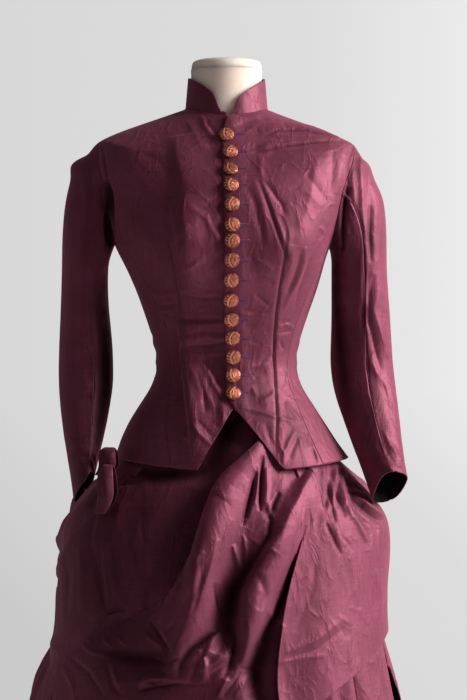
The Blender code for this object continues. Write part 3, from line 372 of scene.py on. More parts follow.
class Face(Enum):
    """The side of the dress that a crease's two numbers are measured on, in millimetres."""
    FRONT = "front"                # to the viewer's right of the axis, and up
    BACK = "back"                  # to the wearer's left, and up, seen from behind
    LEFT = "left"                  # backwards, and up, seen from the wearer's left
    RIGHT = "right"                # backwards, and up, seen from the wearer's right

    def towards(self) -> Array:
        """Gives the direction from the dress to whoever looks at this side."""
        return {Face.FRONT: -EYE.axes()[1], Face.BACK: np.array([0.0, 1.0, 0.0]),
                Face.LEFT: np.array([1.0, 0.0, 0.0]), Face.RIGHT: np.array([-1.0, 0.0, 0.0])}[self]

    def flatten(self, points: Array) -> Array:
        """Lays points out flat as this side shows them.

        Args:
            points: places in the frame, one a row.

        Returns:
            Across and up for each, in metres.
        """
        if self is Face.FRONT:
            right, into = EYE.axes()
            rel = points - EYE.place()
            near = EYE.distance / (rel @ into)
            return np.stack([rel @ right * near + EYE.aside, rel[:, 2] * near + EYE.height], axis=1)
        return points[:, [0, 2]] if self is Face.BACK else points[:, [1, 2]]


EYE = Eye()


@dataclass(frozen=True)
class Fold:
    """A soft ridge, or a trough if its height is negative, along a path, in millimetres.

    A height of 0 moves nothing: such a fold only paints shade on the cloth."""
    height: float
    width: float
    path: tuple[tuple[float, float], ...]
    face: Face = Face.FRONT
    sharp: float = 0.0             # 0 is round, 1 is pressed to an edge
    lean: float = 0.0              # above 0 the slope right of a downward path is the gentle one
    dark: float = 0.0              # how much shade is painted on the cloth along it, up to 1


def creases(*rows: tuple[float, ...], face: Face = Face.FRONT) -> tuple[Fold, ...]:
    """Reads a table of folds with one row each.

    Args:
        rows: the height, the width, how sharp it is, then across and up of each point in turn.
        face: the side of the dress that they are measured on.

    Returns:
        The folds, in the table's order.
    """
    return tuple(Fold(height, width, tuple(zip(path[::2], path[1::2])), face, sharp)
                 for height, width, sharp, *path in rows)


# Where a face starts to take a fold as it turns to the viewer, and the run to taking all of it.
TURNED = (0.05, 0.30)
FELT = 3.2                         # how many widths off a fold is still felt
PRESSED = 1.6                      # how steeply a sharp fold falls away


def press(points: Array, normals: Array, folds: tuple[Fold, ...]) -> tuple[Array, Array]:
    """Works out how far each point of a cloth moves outwards under its folds.

    Args:
        points: the cloth's points, one a row.
        normals: its outward directions.
        folds: the folds that lie on it.

    Returns:
        The move of each point, in metres, and how much shade is painted on each.
    """
    moved, painted_shade = np.zeros(len(points)), np.zeros(len(points))
    for face in Face:
        flat = face.flatten(points) / MM
        facing = np.clip((normals @ face.towards() - TURNED[0]) / TURNED[1], 0.0, 1.0)
        for fold in (f for f in folds if f.face is face):
            path = np.array(fold.path, float)
            reach = FELT * fold.width * (1.0 + abs(fold.lean))
            near = facing > 0
            near &= np.all((flat > path.min(0) - reach) & (flat < path.max(0) + reach), axis=1)
            if not near.any():
                continue
            here = flat[near]
            lengths = np.linalg.norm(np.diff(path, axis=0), axis=1)
            best = np.full(len(here), np.inf)
            share, side = np.zeros(len(here)), np.ones(len(here))
            for i, (a, b) in enumerate(zip(path, path[1:])):
                t = np.clip((here - a) @ (b - a) / lengths[i] ** 2, 0.0, 1.0)
                away = np.linalg.norm(here - a - t[:, None] * (b - a), axis=1)
                closer = away < best
                best = np.where(closer, away, best)
                along = (lengths[:i].sum() + t * lengths[i]) / lengths.sum()
                share = np.where(closer, along, share)
                turn = (b - a)[0] * (here - a)[:, 1] - (b - a)[1] * (here - a)[:, 0]
                side = np.where(closer, np.sign(turn), side)
            taper = np.sqrt(np.clip(4.0 * share * (1.0 - share), 0.0, 1.0))
            w = best / (fold.width * (1.0 + side * fold.lean))
            profile = (1 - fold.sharp) * np.exp(-w * w) + fold.sharp * np.exp(-PRESSED * w)
            moved[near] += facing[near] * fold.height * MM * taper * profile
            # Painted shade: each point keeps the darkest that any fold paints on it.
            painted_shade[near] = np.maximum(painted_shade[near], facing[near] * fold.dark * taper * profile)
    return moved, painted_shade


@dataclass(frozen=True)
class Nudge:
    """A soft push on all the cloth round one place, in millimetres."""
    at: tuple[float, float, float]
    move: tuple[float, float, float]
    reach: tuple[float, float, float]

    def moves(self, points: Array) -> Array:
        """Works out each point's move.

        Args:
            points: the cloth's points, one a row.

        Returns:
            The moves, in metres.
        """
        off = (points / MM - np.array(self.at)) / np.array(self.reach)
        return np.exp(-(off * off).sum(axis=1))[:, None] * np.array(self.move) * MM


@dataclass(frozen=True)
class Crumple:
    """The small unevenness all over a cloth: long crisp ridges, in millimetres."""
    height: float = 0.5
    across: float = 26.0           # from one ridge to the next
    up: float = 70.0               # how far each runs
    seed: float = 0.0
    turn: float = 0.0              # how far they lean to the right at the top, in degrees
    sway: tuple[tuple[float, float], ...] = ((9.0, 47.0), (6.0, 31.0))  # how far, and over what run
    fine: tuple[float, float] = (0.4, 2.7)   # smaller ridges: their height and number to each
    level: float = 0.32            # what the noise comes to on the whole

    def moves(self, points: Array) -> Array:
        """Works out each point's outward move.

        Args:
            points: the cloth's points, one a row.

        Returns:
            The moves, in metres.
        """
        c, s = math.cos(math.radians(self.turn)), math.sin(math.radians(self.turn))
        x, y, z = (points / MM).T
        (wide, long), (narrow, short) = self.sway
        wander = (wide * np.sin(z / long + self.seed)
                  + narrow * np.sin(x / short + 2.0 * self.seed))
        across = (x * c - z * s + wander) / self.across
        up = (x * s + z * c) / self.up
        at = np.stack([across + self.seed, y / self.across, up], axis=1)
        out = np.empty(len(points))
        for i, place in enumerate(at):
            small = self.fine[0] * abs(noise.noise(place * self.fine[1]))
            out[i] = self.level - (abs(noise.noise(place)) + small)
        return out * self.height * MM


# ---------------------------------------------------------------- cloth

WALL = (1.7 * MM, 2.9 * MM)        # the thickness of the frame's cloth walls, with its spread
SHELL = 1.0 * MM                   # silk and lining together
LINING_DROP = (4.0 * MM, 30.0 * MM)  # how far the lining hangs free, and how far in from the edge
WELD = 0.01 * MM
BODY_AXIS = 0.04                   # how far behind the pole the middle of the body lies
JOINED = (math.radians(70), math.radians(80))  # two triangles within these angles make one face
SEAM_FLAT = 6.0                    # how far from a seam a worn piece is creased in full, in mm
GARMENTS = (
    ("bodice", "collar", "sleeve"),
    ("apron", "side_panel", "big_panel", "back_puff", "tail", "underskirt", "flounce"),
)
CLOTHS: dict[str, BVHTree] = {}    # the finished outer faces, for the sewing
WALLS: dict[str, BVHTree] = {}     # the frame's own walls, for the seams


class Held(Enum):
    """How a cloth is held, in the words that the frame knows."""
    WORN = "stretched"
    GATHERED = "gathered"
    DRAPED = "draped"


def outer_sheet(node: str) -> bmesh.types.BMesh:
    """Cuts the outer face of a cloth wall out of its node.

    Args:
        node: the frame's node.

    Returns:
        The open sheet, in four-sided faces where it has them.
    """
    sheet = bmesh.new()
    sheet.from_mesh(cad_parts[node].data)
    bmesh.ops.remove_doubles(sheet, verts=sheet.verts, dist=WELD)
    rim = [f for f in sheet.faces if any(WALL[0] < e.calc_length() < WALL[1] for e in f.edges)]
    bmesh.ops.delete(sheet, geom=rim, context="FACES")
    sheets: list[set[bmesh.types.BMFace]] = []
    left = set(sheet.faces)
    while left:
        found = {left.pop()}
        edge = list(found)
        while edge:
            near = {g for e in edge.pop().edges for g in e.link_faces} - found
            found |= near
            edge += list(near)
        left -= found
        sheets.append(found)
    middle = sum((v.co for v in sheet.verts), Vector()) / len(sheet.verts)
    if not node.startswith("sleeve"):
        middle = Vector((0.0, BODY_AXIS, middle.z))
    outer = max(sheets, key=lambda found: sum(
        f.calc_area() * f.normal.dot((f.calc_center_median() - middle).normalized())
        for f in found))
    inner = [f for f in sheet.faces if f not in outer]
    bmesh.ops.delete(sheet, geom=inner, context="FACES")
    bmesh.ops.join_triangles(sheet, faces=sheet.faces, angle_face_threshold=JOINED[0],
                             angle_shape_threshold=JOINED[1])
    return sheet


def evaluated(obj: bpy.types.Object) -> bpy.types.Mesh:
    """Applies an object's modifiers and takes them off it.

    Args:
        obj: the object.

    Returns:
        Its new mesh.
    """
    bpy.context.view_layer.update()
    graph = bpy.context.evaluated_depsgraph_get()
    mesh = bpy.data.meshes.new_from_object(obj.evaluated_get(graph))
    obj.modifiers.clear()
    obj.data = mesh
    return mesh


def show(name: str, mesh: bpy.types.Mesh, *finishes: bpy.types.Material) -> bpy.types.Object:
    """Puts a mesh in the scene as a smooth piece at the origin.

    Args:
        name: the piece's name.
        mesh: its mesh.
        finishes: its materials, in slot order.

    Returns:
        The object.
    """
    for finish in finishes:
        mesh.materials.append(finish)
    mesh.shade_smooth()
    obj = bpy.data.objects.new(name, mesh)
    bpy.context.scene.collection.objects.link(obj)
    return obj


def hand_over(obj: bpy.types.Object, node: str) -> None:
    """Sets a finished piece on the body in place of its node.

    Args:
        obj: the piece.
        node: the node it stands for.
    """
    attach(obj, "root")
    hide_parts(node)
    log.info("%s: %d faces", obj.name, len(obj.data.polygons))


def search(places: Sequence[Any]) -> KDTree:
    """Sorts places, so that the one nearest to a point is soon found by its number.

    Args:
        places: the places, in order.

    Returns:
        The sorted tree.
    """
    tree = KDTree(max(1, len(places)))
    for i, place in enumerate(places):
        tree.insert(place, i)
    tree.balance()
    return tree


def coordinates(mesh: bpy.types.Mesh) -> tuple[Array, Array]:
    """Reads a mesh's points and its outward directions.

    Args:
        mesh: the mesh.

    Returns:
        The points and the directions, one a row.
    """
    points = np.empty(len(mesh.vertices) * 3)
    mesh.vertices.foreach_get("co", points)
    normals = np.empty(len(mesh.vertices) * 3)
    mesh.vertex_normals.foreach_get("vector", normals)
    return points.reshape(-1, 3), normals.reshape(-1, 3)


def others(node: str) -> list[BVHTree]:
    """Finds what a piece's seams can meet.

    Args:
        node: the piece's node.

    Returns:
        The walls of the other pieces of the same garment.
    """
    garment = next(names for names in GARMENTS if node.startswith(names))
    for name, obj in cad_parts.items():
        if name.startswith(garment) and name not in WALLS:
            WALLS[name] = BVHTree.FromPolygons([v.co for v in obj.data.vertices],
                                               [tuple(p.vertices) for p in obj.data.polygons])
    return [wall for name, wall in WALLS.items() if name.startswith(garment) and name != node]


def fell(lined: bmesh.types.BMesh, count: int) -> None:
    """Sews a lining to the turned edge of its silk, so that the two close round a piece.

    Args:
        lined: the silk, then its lining, each with an open edge.
        count: how many points are the silk's.
    """
    lined.verts.index_update()
    lined.verts.ensure_lookup_table()
    lining = [v for v in lined.verts[count:] if v.is_boundary]
    near = search([v.co for v in lining])
    for edge in [e for e in lined.edges if e.is_boundary and e.verts[0].index < count]:
        u, v = edge.link_loops[0].vert, edge.link_loops[0].link_loop_next.vert
        ends = [lining[near.find(end.co)[1]] for end in (u, v)]
        around = [v, u, ends[0]] + [ends[1]] * (ends[0] is not ends[1])
        if lined.faces.get(around) is None:
            lined.faces.new(around)


@dataclass(frozen=True)
class Cut:
    """A straight cut seen from the front, in millimetres: what lies above and left of a line
    down from a to b goes."""
    a: tuple[float, float]
    b: tuple[float, float]

    def plane(self) -> tuple[Vector, Vector]:
        """Gives a place on the cut and the direction that goes."""
        ways = [EYE.way(x * MM, z * MM) for x, z in (self.a, self.b)]
        return Vector(EYE.place()), Vector(np.cross(ways[0], ways[1])).normalized()


@dataclass(frozen=True)
class Cloth:
    """One cut piece: the node it stands for, its flat size in metres, and how it is held."""
    node: str
    flat: tuple[float, float]
    area: float | None = None
    held: Held = Held.WORN
    rests_on: tuple[str, ...] = ("form_torso",)
    level: int = 3
    folds: tuple[Fold, ...] = ()
    crumple: Crumple = Crumple()
    cuts: tuple[Cut, ...] = ()
    seam_reach: float = 7.0        # how far off a neighbour is still sewn to, in millimetres
    meet: float = 0.55             # how much of the way to it the edge goes

    def close_seams(self, mesh: bpy.types.Mesh, points: Array) -> tuple[list[int], Array]:
        """Moves the piece's edge about half way to whatever it is sewn to.

        Args:
            mesh: the piece's mesh.
            points: its points, which are moved in place.

        Returns:
            The numbers of the points along the edge, and how freely each point of the piece can
            be creased: a worn piece lies flat at its seams.
        """
        used = np.zeros(len(mesh.edges), int)
        sides = np.empty(len(mesh.loops), int)
        mesh.loops.foreach_get("edge_index", sides)
        np.add.at(used, sides, 1)
        rim = {i for edge in np.flatnonzero(used == 1) for i in mesh.edges[edge].vertices}
        walls = others(self.node)
        sewn = []
        for i in rim:
            found = [wall.find_nearest(Vector(points[i]), self.seam_reach * MM) for wall in walls]
            found = [hit for hit in found if hit[0] is not None]
            if found:
                nearest = min(found, key=lambda hit: hit[3])[0]
                points[i] += self.meet * (np.array(nearest) - points[i])
                sewn.append(points[i])
        if self.held is not Held.WORN:
            return sorted(rim), np.ones(len(points))
        seam = search(sewn)
        off = np.array([seam.find(place)[2] or 0.0 for place in points])
        return sorted(rim), np.clip(off / (SEAM_FLAT * MM), 0.0, 1.0)

    def shaped(self, level: int) -> tuple[bpy.types.Mesh, Array, Array]:
        """Gives the outer face, refined, sewn to its neighbours and creased.

        Args:
            level: how often its faces are divided.

        Returns:
            The mesh, its outward directions before the creases, and its rim's points.
        """
        sheet = outer_sheet(self.node)
        mesh = bpy.data.meshes.new(self.node)
        sheet.to_mesh(mesh)
        sheet.free()
        obj = show(self.node + "_sheet", mesh)
        smooth = obj.modifiers.new("smooth", "SUBSURF")
        smooth.levels = smooth.render_levels = level
        smooth.boundary_smooth = "PRESERVE_CORNERS"
        mesh = evaluated(obj)
        bpy.data.objects.remove(obj)
        for cut in self.cuts:
            trimmed = bmesh.new()
            trimmed.from_mesh(mesh)
            place, gone = cut.plane()
            bmesh.ops.bisect_plane(trimmed, geom=[*trimmed.verts, *trimmed.edges, *trimmed.faces],
                                   plane_co=place, plane_no=gone, clear_outer=True)
            trimmed.to_mesh(mesh)
            trimmed.free()
        points, normals = coordinates(mesh)
        moves, painted_shade = press(points, normals, self.folds)
        moves += self.crumple.moves(points)
        rim, free = self.close_seams(mesh, points)
        moves *= free
        for nudge in NUDGES:
            points += nudge.moves(points)
        points += normals * moves[:, None]
        mesh.vertices.foreach_set("co", points.ravel())
        # The painted shade goes on the points, for the silk's material.
        mesh.attributes.new("painted_shade", "FLOAT", "POINT").data.foreach_set("value", painted_shade)
        mesh.update()
        return mesh, normals, points[rim]

    def build(self) -> None:
        """Makes the piece from its node, lines it, and sets it in its node's place."""
        outer, normals, rim = self.shaped(self.level)
        lined = bmesh.new()
        lined.from_mesh(outer)
        CLOTHS[self.node] = BVHTree.FromBMesh(lined)
        hem = {v: Vector(normals[v.index]) for v in lined.verts if v.is_boundary}
        turned = bmesh.ops.extrude_edge_only(lined, edges=[e for e in lined.edges if e.is_boundary])
        fresh = [v for v in turned["geom"] if isinstance(v, bmesh.types.BMVert)]
        old = search([v.co for v in hem])
        ways = list(hem.values())
        for v in fresh:
            v.co -= ways[old.find(v.co)[1]] * SHELL
        inner, normals, _ = self.shaped(max(1, self.level - 2))
        points, _ = coordinates(inner)
        edge = search(rim)
        deep = np.array([min(1.0, edge.find(place)[2] / LINING_DROP[1]) for place in points])
        points -= normals * (SHELL + LINING_DROP[0] * deep)[:, None]
        inner.vertices.foreach_set("co", points.ravel())
        inner.flip_normals()
        faces, verts = len(lined.faces), len(lined.verts)
        lined.from_mesh(inner)
        lined.faces.ensure_lookup_table()
        for face in lined.faces[faces:]:
            face.material_index = 1
        fell(lined, verts)
        mesh = bpy.data.meshes.new(self.node + "_silk")
        lined.to_mesh(mesh)
        lined.free()
        obj = show(self.node + "_silk", mesh, SILK, LINING)
        hand_over(obj, self.node)


# ---------------------------------------------------------------- creases and darts

DARTS = {
    "left": (
        ((90, 1225), (88, 1189), (83, 1160), (78, 1129), (74, 1100), (71, 1065), (70, 1031),
         (72, 1002), (74, 961), (75, 937), (74, 906), (77, 884)),
    ),
    "right": (
        ((-88, 1209), (-83, 1189), (-77, 1151), (-70, 1119), (-64, 1088), (-62, 1056),
         (-60, 1018), (-57, 980), (-53, 939), (-49, 906), (-49, 884)),
        ((-94, 1090), (-92, 1076)),
    ),
}
DART_FOLDS = {side: tuple(fold for path in paths for fold in (
    Fold(-1.7, 2.4, path, sharp=0.6),
    Fold(1.0, 4.5, tuple((x + 5, z) for x, z in path), lean=0.3),
)) for side, paths in DARTS.items()}
# In the tables of creases, a row is: height, width, sharp, then across and up along the path.
# The armhole's seam, and the hollow under the arm below it, show on the front and the sleeve; their
# dark values paint shade along the seam and under the arm.
ARMHOLES = {
    "left": (
        Fold(-1.6, 2.4, ((191, 1348), (185, 1324), (182, 1300), (179, 1274)), sharp=0.6, dark=0.7),
        Fold(-8, 4, ((182, 1288), (178, 1262), (175, 1230), (173, 1192)), sharp=0.2, dark=0.95),
    ),
    "right": (
        Fold(-1.6, 2.4, ((-188, 1354), (-184, 1330), (-181, 1310), (-179, 1282)), sharp=0.6,
             dark=0.7),
        Fold(-13, 7, ((-182, 1300), (-179, 1268), (-178, 1234), (-176, 1198)), sharp=0.2,
             dark=0.95),
    ),
}
# A fold's dark value paints shade on the cloth; a fold of height 0 is painted shade only.
FRONT_LEFT_FOLDS = ARMHOLES["left"] + (
    Fold(0, 26, ((32, 1028), (44, 975), (62, 908)), dark=0.35),
    Fold(3, 7, ((47, 1374), (88, 1382), (128, 1376), (170, 1360)), sharp=0.2, lean=-0.5),
    Fold(2.5, 5, ((47, 1348), (80, 1359), (122, 1362), (170, 1358)), sharp=0.2, lean=-0.3),
    Fold(-2, 2.4, ((53, 1360), (76, 1371), (118, 1370), (173, 1359)), sharp=0.4, dark=0.6),
    Fold(-2, 2.6, ((38, 1338), (79, 1347), (124, 1354), (176, 1356)), sharp=0.4, dark=0.6),
    Fold(0, 17, ((85, 964), (103, 930), (115, 890)), dark=0.38),
    Fold(1.6, 5, ((53, 1298), (68, 1258), (82, 1220), (97, 1174)), sharp=0.4),
    Fold(-1.8, 3, ((49, 1296), (64, 1256), (77, 1216), (92, 1172)), sharp=0.6, dark=0.3),
) + creases(
    (2.2, 6, 0.3, 60, 1369, 94, 1373, 128, 1369, 172, 1359),
    (-2.2, 4.2, 0.3, 59, 1360, 94, 1359, 131, 1363, 163, 1359),
    (-1.3, 4.2, 0.3, 171, 1354, 128, 1351, 90, 1346, 65, 1337, 34, 1337),
    (1.5, 5.1, 0.3, 18, 1391, 43, 1395, 73, 1398),
    (-1.1, 3.4, 0.3, 11, 1378, 37, 1385, 65, 1388),
    (1.4, 6.8, 0.3, 27, 1367, 49, 1383, 84, 1383),
    (-1, 3.4, 0.3, 29, 1342, 59, 1353, 94, 1355),
    (1.2, 4.2, 0.3, 48, 1339, 51, 1320, 53, 1294),
    (-2, 3.4, 0.4, 57, 1296, 70, 1279, 83, 1260, 88, 1245),
    (1.3, 5.1, 0.3, 40, 1301, 54, 1260, 60, 1225, 63, 1200),
    (-1.2, 5.1, 0.3, 30, 1288, 43, 1263, 49, 1231, 56, 1193),
    (1.2, 7.6, 0.3, 109, 1288, 125, 1275, 144, 1257),
    (-1, 5.1, 0.3, 119, 1307, 141, 1279, 154, 1260),
    (-1.8, 2.5, 0.4, 150, 1219, 139, 1207),
    (-1.5, 2.5, 0.4, 158, 1213, 145, 1196),
    (1.4, 3, 0.3, 140, 1228, 149, 1215),
    (1.7, 6.8, 0.3, 176, 1351, 173, 1326, 169, 1301, 165, 1275),
    (-1.5, 6.8, 0.3, 160, 1342, 159, 1307, 155, 1275),
    (1.2, 7.6, 0.3, 138, 1335, 131, 1301, 122, 1257, 109, 1225),
    (-1.3, 3.4, 0.3, 34, 1152, 49, 1151, 71, 1143),
    (1.3, 4.2, 0.3, 40, 1179, 59, 1170, 70, 1160),
    (-1.5, 3.4, 0.3, 43, 1125, 56, 1115, 68, 1106),
    (-1.4, 3, 0.3, 23, 1102, 40, 1099, 67, 1099),
    (1.3, 3.4, 0.3, 18, 1094, 43, 1092, 71, 1094),
    (-1.2, 3, 0.3, 40, 1070, 56, 1072, 70, 1073),
    (-1, 2.5, 0.3, 34, 1056, 54, 1051),
    (1.6, 5.1, 0.3, 18, 1009, 37, 1017, 65, 1021),
    (-1.7, 4.2, 0.3, 34, 1011, 51, 1021, 60, 1031, 69, 1035),
    (-1.3, 4.2, 0.3, 40, 1001, 59, 1011),
    (1.3, 5.1, 0.3, 18, 982, 37, 987, 46, 972),
    (2.2, 4.2, 0.3, 119, 1198, 116, 1173, 108, 1148, 94, 1122, 86, 1103),
    (-1.8, 4.2, 0.3, 112, 1195, 108, 1170, 100, 1148, 90, 1125),
    (1.4, 4.2, 0.3, 100, 1201, 97, 1173, 90, 1144),
    (-1.5, 3.4, 0.3, 129, 1189, 120, 1163, 109, 1135, 103, 1103),
    (-1.8, 2.5, 0.4, 78, 1082, 97, 1086),
    (-1.8, 2.5, 0.4, 76, 1068, 100, 1071, 109, 1058),
    (-1.5, 2.5, 0.4, 79, 1057, 85, 1043),
    (1.6, 3.4, 0.3, 87, 1081, 100, 1076, 110, 1065),
    (1.6, 4.2, 0.3, 81, 1015, 87, 1002, 84, 987),
    (-1.4, 3.4, 0.3, 87, 1005, 97, 990, 106, 968),
    (1.2, 3.4, 0.3, 49, 964, 68, 974, 76, 987),
    (1.7, 3.4, 0.3, 20, 957, 56, 948, 87, 938, 113, 934),
    (1.5, 3.4, 0.3, 89, 964, 99, 949, 114, 935),
    (1.6, 3.4, 0.3, 116, 934, 142, 941, 164, 932),
    (-2.2, 3.4, 0.4, 117, 922, 125, 906, 131, 891, 135, 873),
    (-1.5, 2.5, 0.4, 121, 919, 137, 901),
    (2, 3.4, 0.3, 103, 922, 93, 903, 87, 888, 82, 874),
    (-1.5, 3.4, 0.3, 109, 915, 101, 897, 94, 879),
    (1.6, 4.2, 0.3, 143, 915, 152, 896, 148, 885, 135, 879),
    (1.3, 3.4, 0.3, 81, 899, 86, 883, 85, 870),
    (-1.4, 5.1, 0.3, 59, 934, 66, 909, 75, 888),
    (1.4, 4.2, 0.3, 118, 915, 127, 897, 145, 891),
)
FRONT_RIGHT_FOLDS = ARMHOLES["right"] + (
    Fold(13, 15, ((-68, 1088), (-61, 1016), (-55, 956), (-47, 874)), lean=0.7),
    Fold(7, 16, ((-82, 1268), (-70, 1192), (-64, 1118), (-61, 1050)), lean=0.7),
    Fold(8, 26, ((-76, 1364), (-64, 1290), (-59, 1215), (-55, 1132)), lean=0.5),
    Fold(-2, 4, ((-43, 1010), (-34, 980), (-31, 946)), sharp=0.3),
    Fold(1.6, 4, ((-31, 1018), (-20, 992), (-7, 970)), sharp=0.3),
) + creases(
    (2, 5.1, 0.3, -39, 1395, -30, 1376, -17, 1358, -6, 1347),
    (-1.8, 4.2, 0.3, -32, 1386, -19, 1369, -9, 1356),
    (1.1, 6.8, 0.3, -58, 1388, -48, 1367, -33, 1339),
    (1.2, 6.8, 0.3, -71, 1275, -45, 1281, -14, 1291),
    (-1.2, 4.2, 0.3, -33, 1258, -17, 1270, -7, 1275),
    (1.2, 5.1, 0.3, -86, 1203, -71, 1214, -55, 1228),
    (-1.6, 2.5, 0.4, -88, 1209, -85, 1193, -83, 1178),
    (1.2, 4.2, 0.3, -58, 1257, -30, 1238, -12, 1206, -8, 1184),
    (-1.1, 5.1, 0.3, -14, 1275, -10, 1238, -7, 1193),
    (-1, 7.6, 0.3, -140, 1345, -102, 1326, -58, 1275),
    (1, 7.6, 0.3, -156, 1313, -115, 1288, -83, 1238),
    (1.4, 4.2, 0.3, -72, 1137, -45, 1132, -17, 1125),
    (-1.2, 3.4, 0.3, -67, 1129, -39, 1122, -7, 1121),
    (1.4, 3.4, 0.3, -67, 1166, -52, 1170, -33, 1183),
    (-1.3, 3, 0.3, -63, 1091, -36, 1088, 1, 1090),
    (1.2, 3.4, 0.3, -61, 1082, -30, 1082, 1, 1081),
    (-1.2, 3, 0.3, -60, 1069, -33, 1071, -1, 1068),
    (1, 3.4, 0.3, -58, 1061, -33, 1062, -1, 1059),
    (-1.2, 3.4, 0.3, -58, 1055, -30, 1049, -1, 1055),
    (1, 3.4, 0.3, -56, 1040, -30, 1035, -1, 1040),
    (3, 8.5, 0.3, -55, 1023, -42, 1002, -30, 977, -17, 952),
    (-2, 6, 0.3, -39, 1031, -20, 1005, -3, 980),
    (2, 6.8, 0.3, -8, 968, -4, 949, -7, 927),
    (-1.2, 3, 0.3, -101, 1108, -71, 1113),
    (-1.6, 2.1, 0.4, -96, 1090, -90, 1076),
    (-1, 2.5, 0.3, -108, 1067, -86, 1071),
    (-1, 3.4, 0.3, -131, 1100, -102, 1099, -77, 1092),
    (1, 4.2, 0.3, -140, 1125, -108, 1122, -77, 1129),
    (2.2, 3.4, 0.3, -49, 928, -39, 914, -23, 899),
    (1.7, 4.2, 0.3, -67, 917, -52, 903, -50, 891, -63, 875),
    (-1.3, 3.4, 0.3, -42, 934, -29, 919, -16, 909),
    (1.4, 5.1, 0.3, -12, 961, -5, 943, -8, 928),
    (1, 7.6, 0.3, -127, 922, -132, 888),
    (-1, 6.8, 0.3, -115, 915, -109, 876),
)
# The folds of height 0 are painted shade only: under the arm, down the sleeve's inner edge and
# along its seam.
SLEEVE_LEFT_FOLDS = ARMHOLES["left"] + (
    Fold(0, 5, ((179, 1292), (175, 1245), (173, 1174)), dark=0.9),
    Fold(0, 11, ((169, 1260), (163, 1192), (163, 1132), (170, 1050), (185, 922)), dark=0.85),
    Fold(0, 2.2, ((193, 1274), (205, 1222), (208, 1162), (208, 1088), (215, 998),
         (227, 908)), dark=1),
    Fold(-2.5, 4, ((217, 1260), (215, 1215), (217, 1174)), sharp=0.2, dark=0.55),
) + creases(
    (2, 5.1, 0.3, 202, 1342, 202, 1301, 203, 1257, 207, 1206),
    (-1.6, 5.1, 0.3, 217, 1326, 216, 1288, 217, 1244),
    (1.6, 5.1, 0.3, 188, 1313, 191, 1275, 192, 1238),
    (-1.8, 4.2, 0.3, 179, 1275, 184, 1260, 191, 1238),
    (-1.8, 4.2, 0.3, 176, 1257, 181, 1241, 188, 1215),
    (2.6, 6, 0.3, 209, 1204, 204, 1173, 201, 1129, 208, 1103),
    (-3.2, 6.8, 0.3, 221, 1155, 215, 1129, 207, 1103, 213, 1075),
    (2.4, 6, 0.3, 229, 1135, 220, 1103, 232, 1065, 243, 1031),
    (-2.4, 5.1, 0.3, 202, 1103, 217, 1072, 225, 1037, 235, 1002),
    (2.2, 6, 0.3, 214, 1031, 223, 1012, 239, 987, 248, 955),
    (-2, 5.1, 0.3, 239, 1103, 248, 1072, 253, 1037),
    (-1.8, 5.1, 0.3, 229, 1005, 239, 980, 248, 936),
    (1.8, 5.1, 0.3, 160, 1031, 176, 1021, 190, 1018),
    (-1.6, 4.2, 0.3, 158, 1017, 176, 1005, 191, 1002),
    (1.6, 5.1, 0.3, 160, 1002, 179, 990, 195, 987),
    (-1.8, 4.2, 0.3, 154, 1148, 172, 1140, 188, 1144),
    (1.8, 4.2, 0.3, 154, 1129, 172, 1121, 190, 1125),
    (-1.5, 4.2, 0.3, 155, 1110, 172, 1103, 185, 1103),
    (-1.4, 5.1, 0.3, 179, 931, 194, 925, 216, 928),
    (1.4, 5.1, 0.3, 191, 894, 209, 888, 228, 894),
    (1.6, 4.2, 0.3, 235, 922, 245, 900, 263, 874),
    (-1.6, 4.2, 0.3, 227, 908, 242, 880, 260, 860),
)
# The folds of height 0 are painted shade only: down the sleeve's inner edge and under the arm.
SLEEVE_RIGHT_FOLDS = ARMHOLES["right"] + (
    Fold(0, 20, ((-181, 1162), (-182, 1072), (-185, 998), (-191, 922), (-202, 862),
         (-214, 810)), dark=1),
    Fold(0, 9, ((-181, 1298), (-176, 1245), (-172, 1200), (-172, 1140)), dark=1),
) + creases(
    (1.4, 6.8, 0.3, -216, 1313, -211, 1275, -209, 1225),
    (-1.2, 6, 0.3, -203, 1326, -201, 1288, -199, 1238),
    (1, 5.1, 0.3, -225, 1288, -223, 1238),
    (-1.2, 3.4, 0.3, -232, 1052, -216, 1053, -197, 1052),
    (1.2, 4.2, 0.3, -232, 1045, -216, 1046, -195, 1045),
    (-1, 3.4, 0.3, -228, 1018, -209, 1021, -195, 1018),
    (1.4, 4.2, 0.3, -191, 1170, -185, 1165, -179, 1166),
    (-1.6, 3.4, 0.3, -191, 1154, -184, 1148, -179, 1149),
    (1.8, 4.2, 0.3, -187, 1140, -182, 1136, -177, 1137),
    (-1.8, 3.4, 0.3, -187, 1113, -181, 1109, -175, 1113),
    (1.8, 3.4, 0.3, -186, 1099, -180, 1096, -175, 1099),
    (-1.8, 3.4, 0.3, -187, 1086, -180, 1081, -174, 1082),
    (1.6, 4.2, 0.3, -186, 1069, -180, 1065, -173, 1069),
    (-1.4, 4.2, 0.3, -187, 1043, -180, 1039, -172, 1042),
    (1.4, 4.2, 0.3, -216, 987, -203, 990, -195, 985),
    (-1.2, 5.1, 0.3, -225, 968, -206, 971, -195, 964),
    (1.2, 4.2, 0.3, -231, 897, -216, 894, -199, 899),
    (-1.2, 3.4, 0.3, -228, 886, -213, 883, -199, 887),
    (1.2, 4.2, 0.3, -225, 873, -210, 871, -201, 876),
)
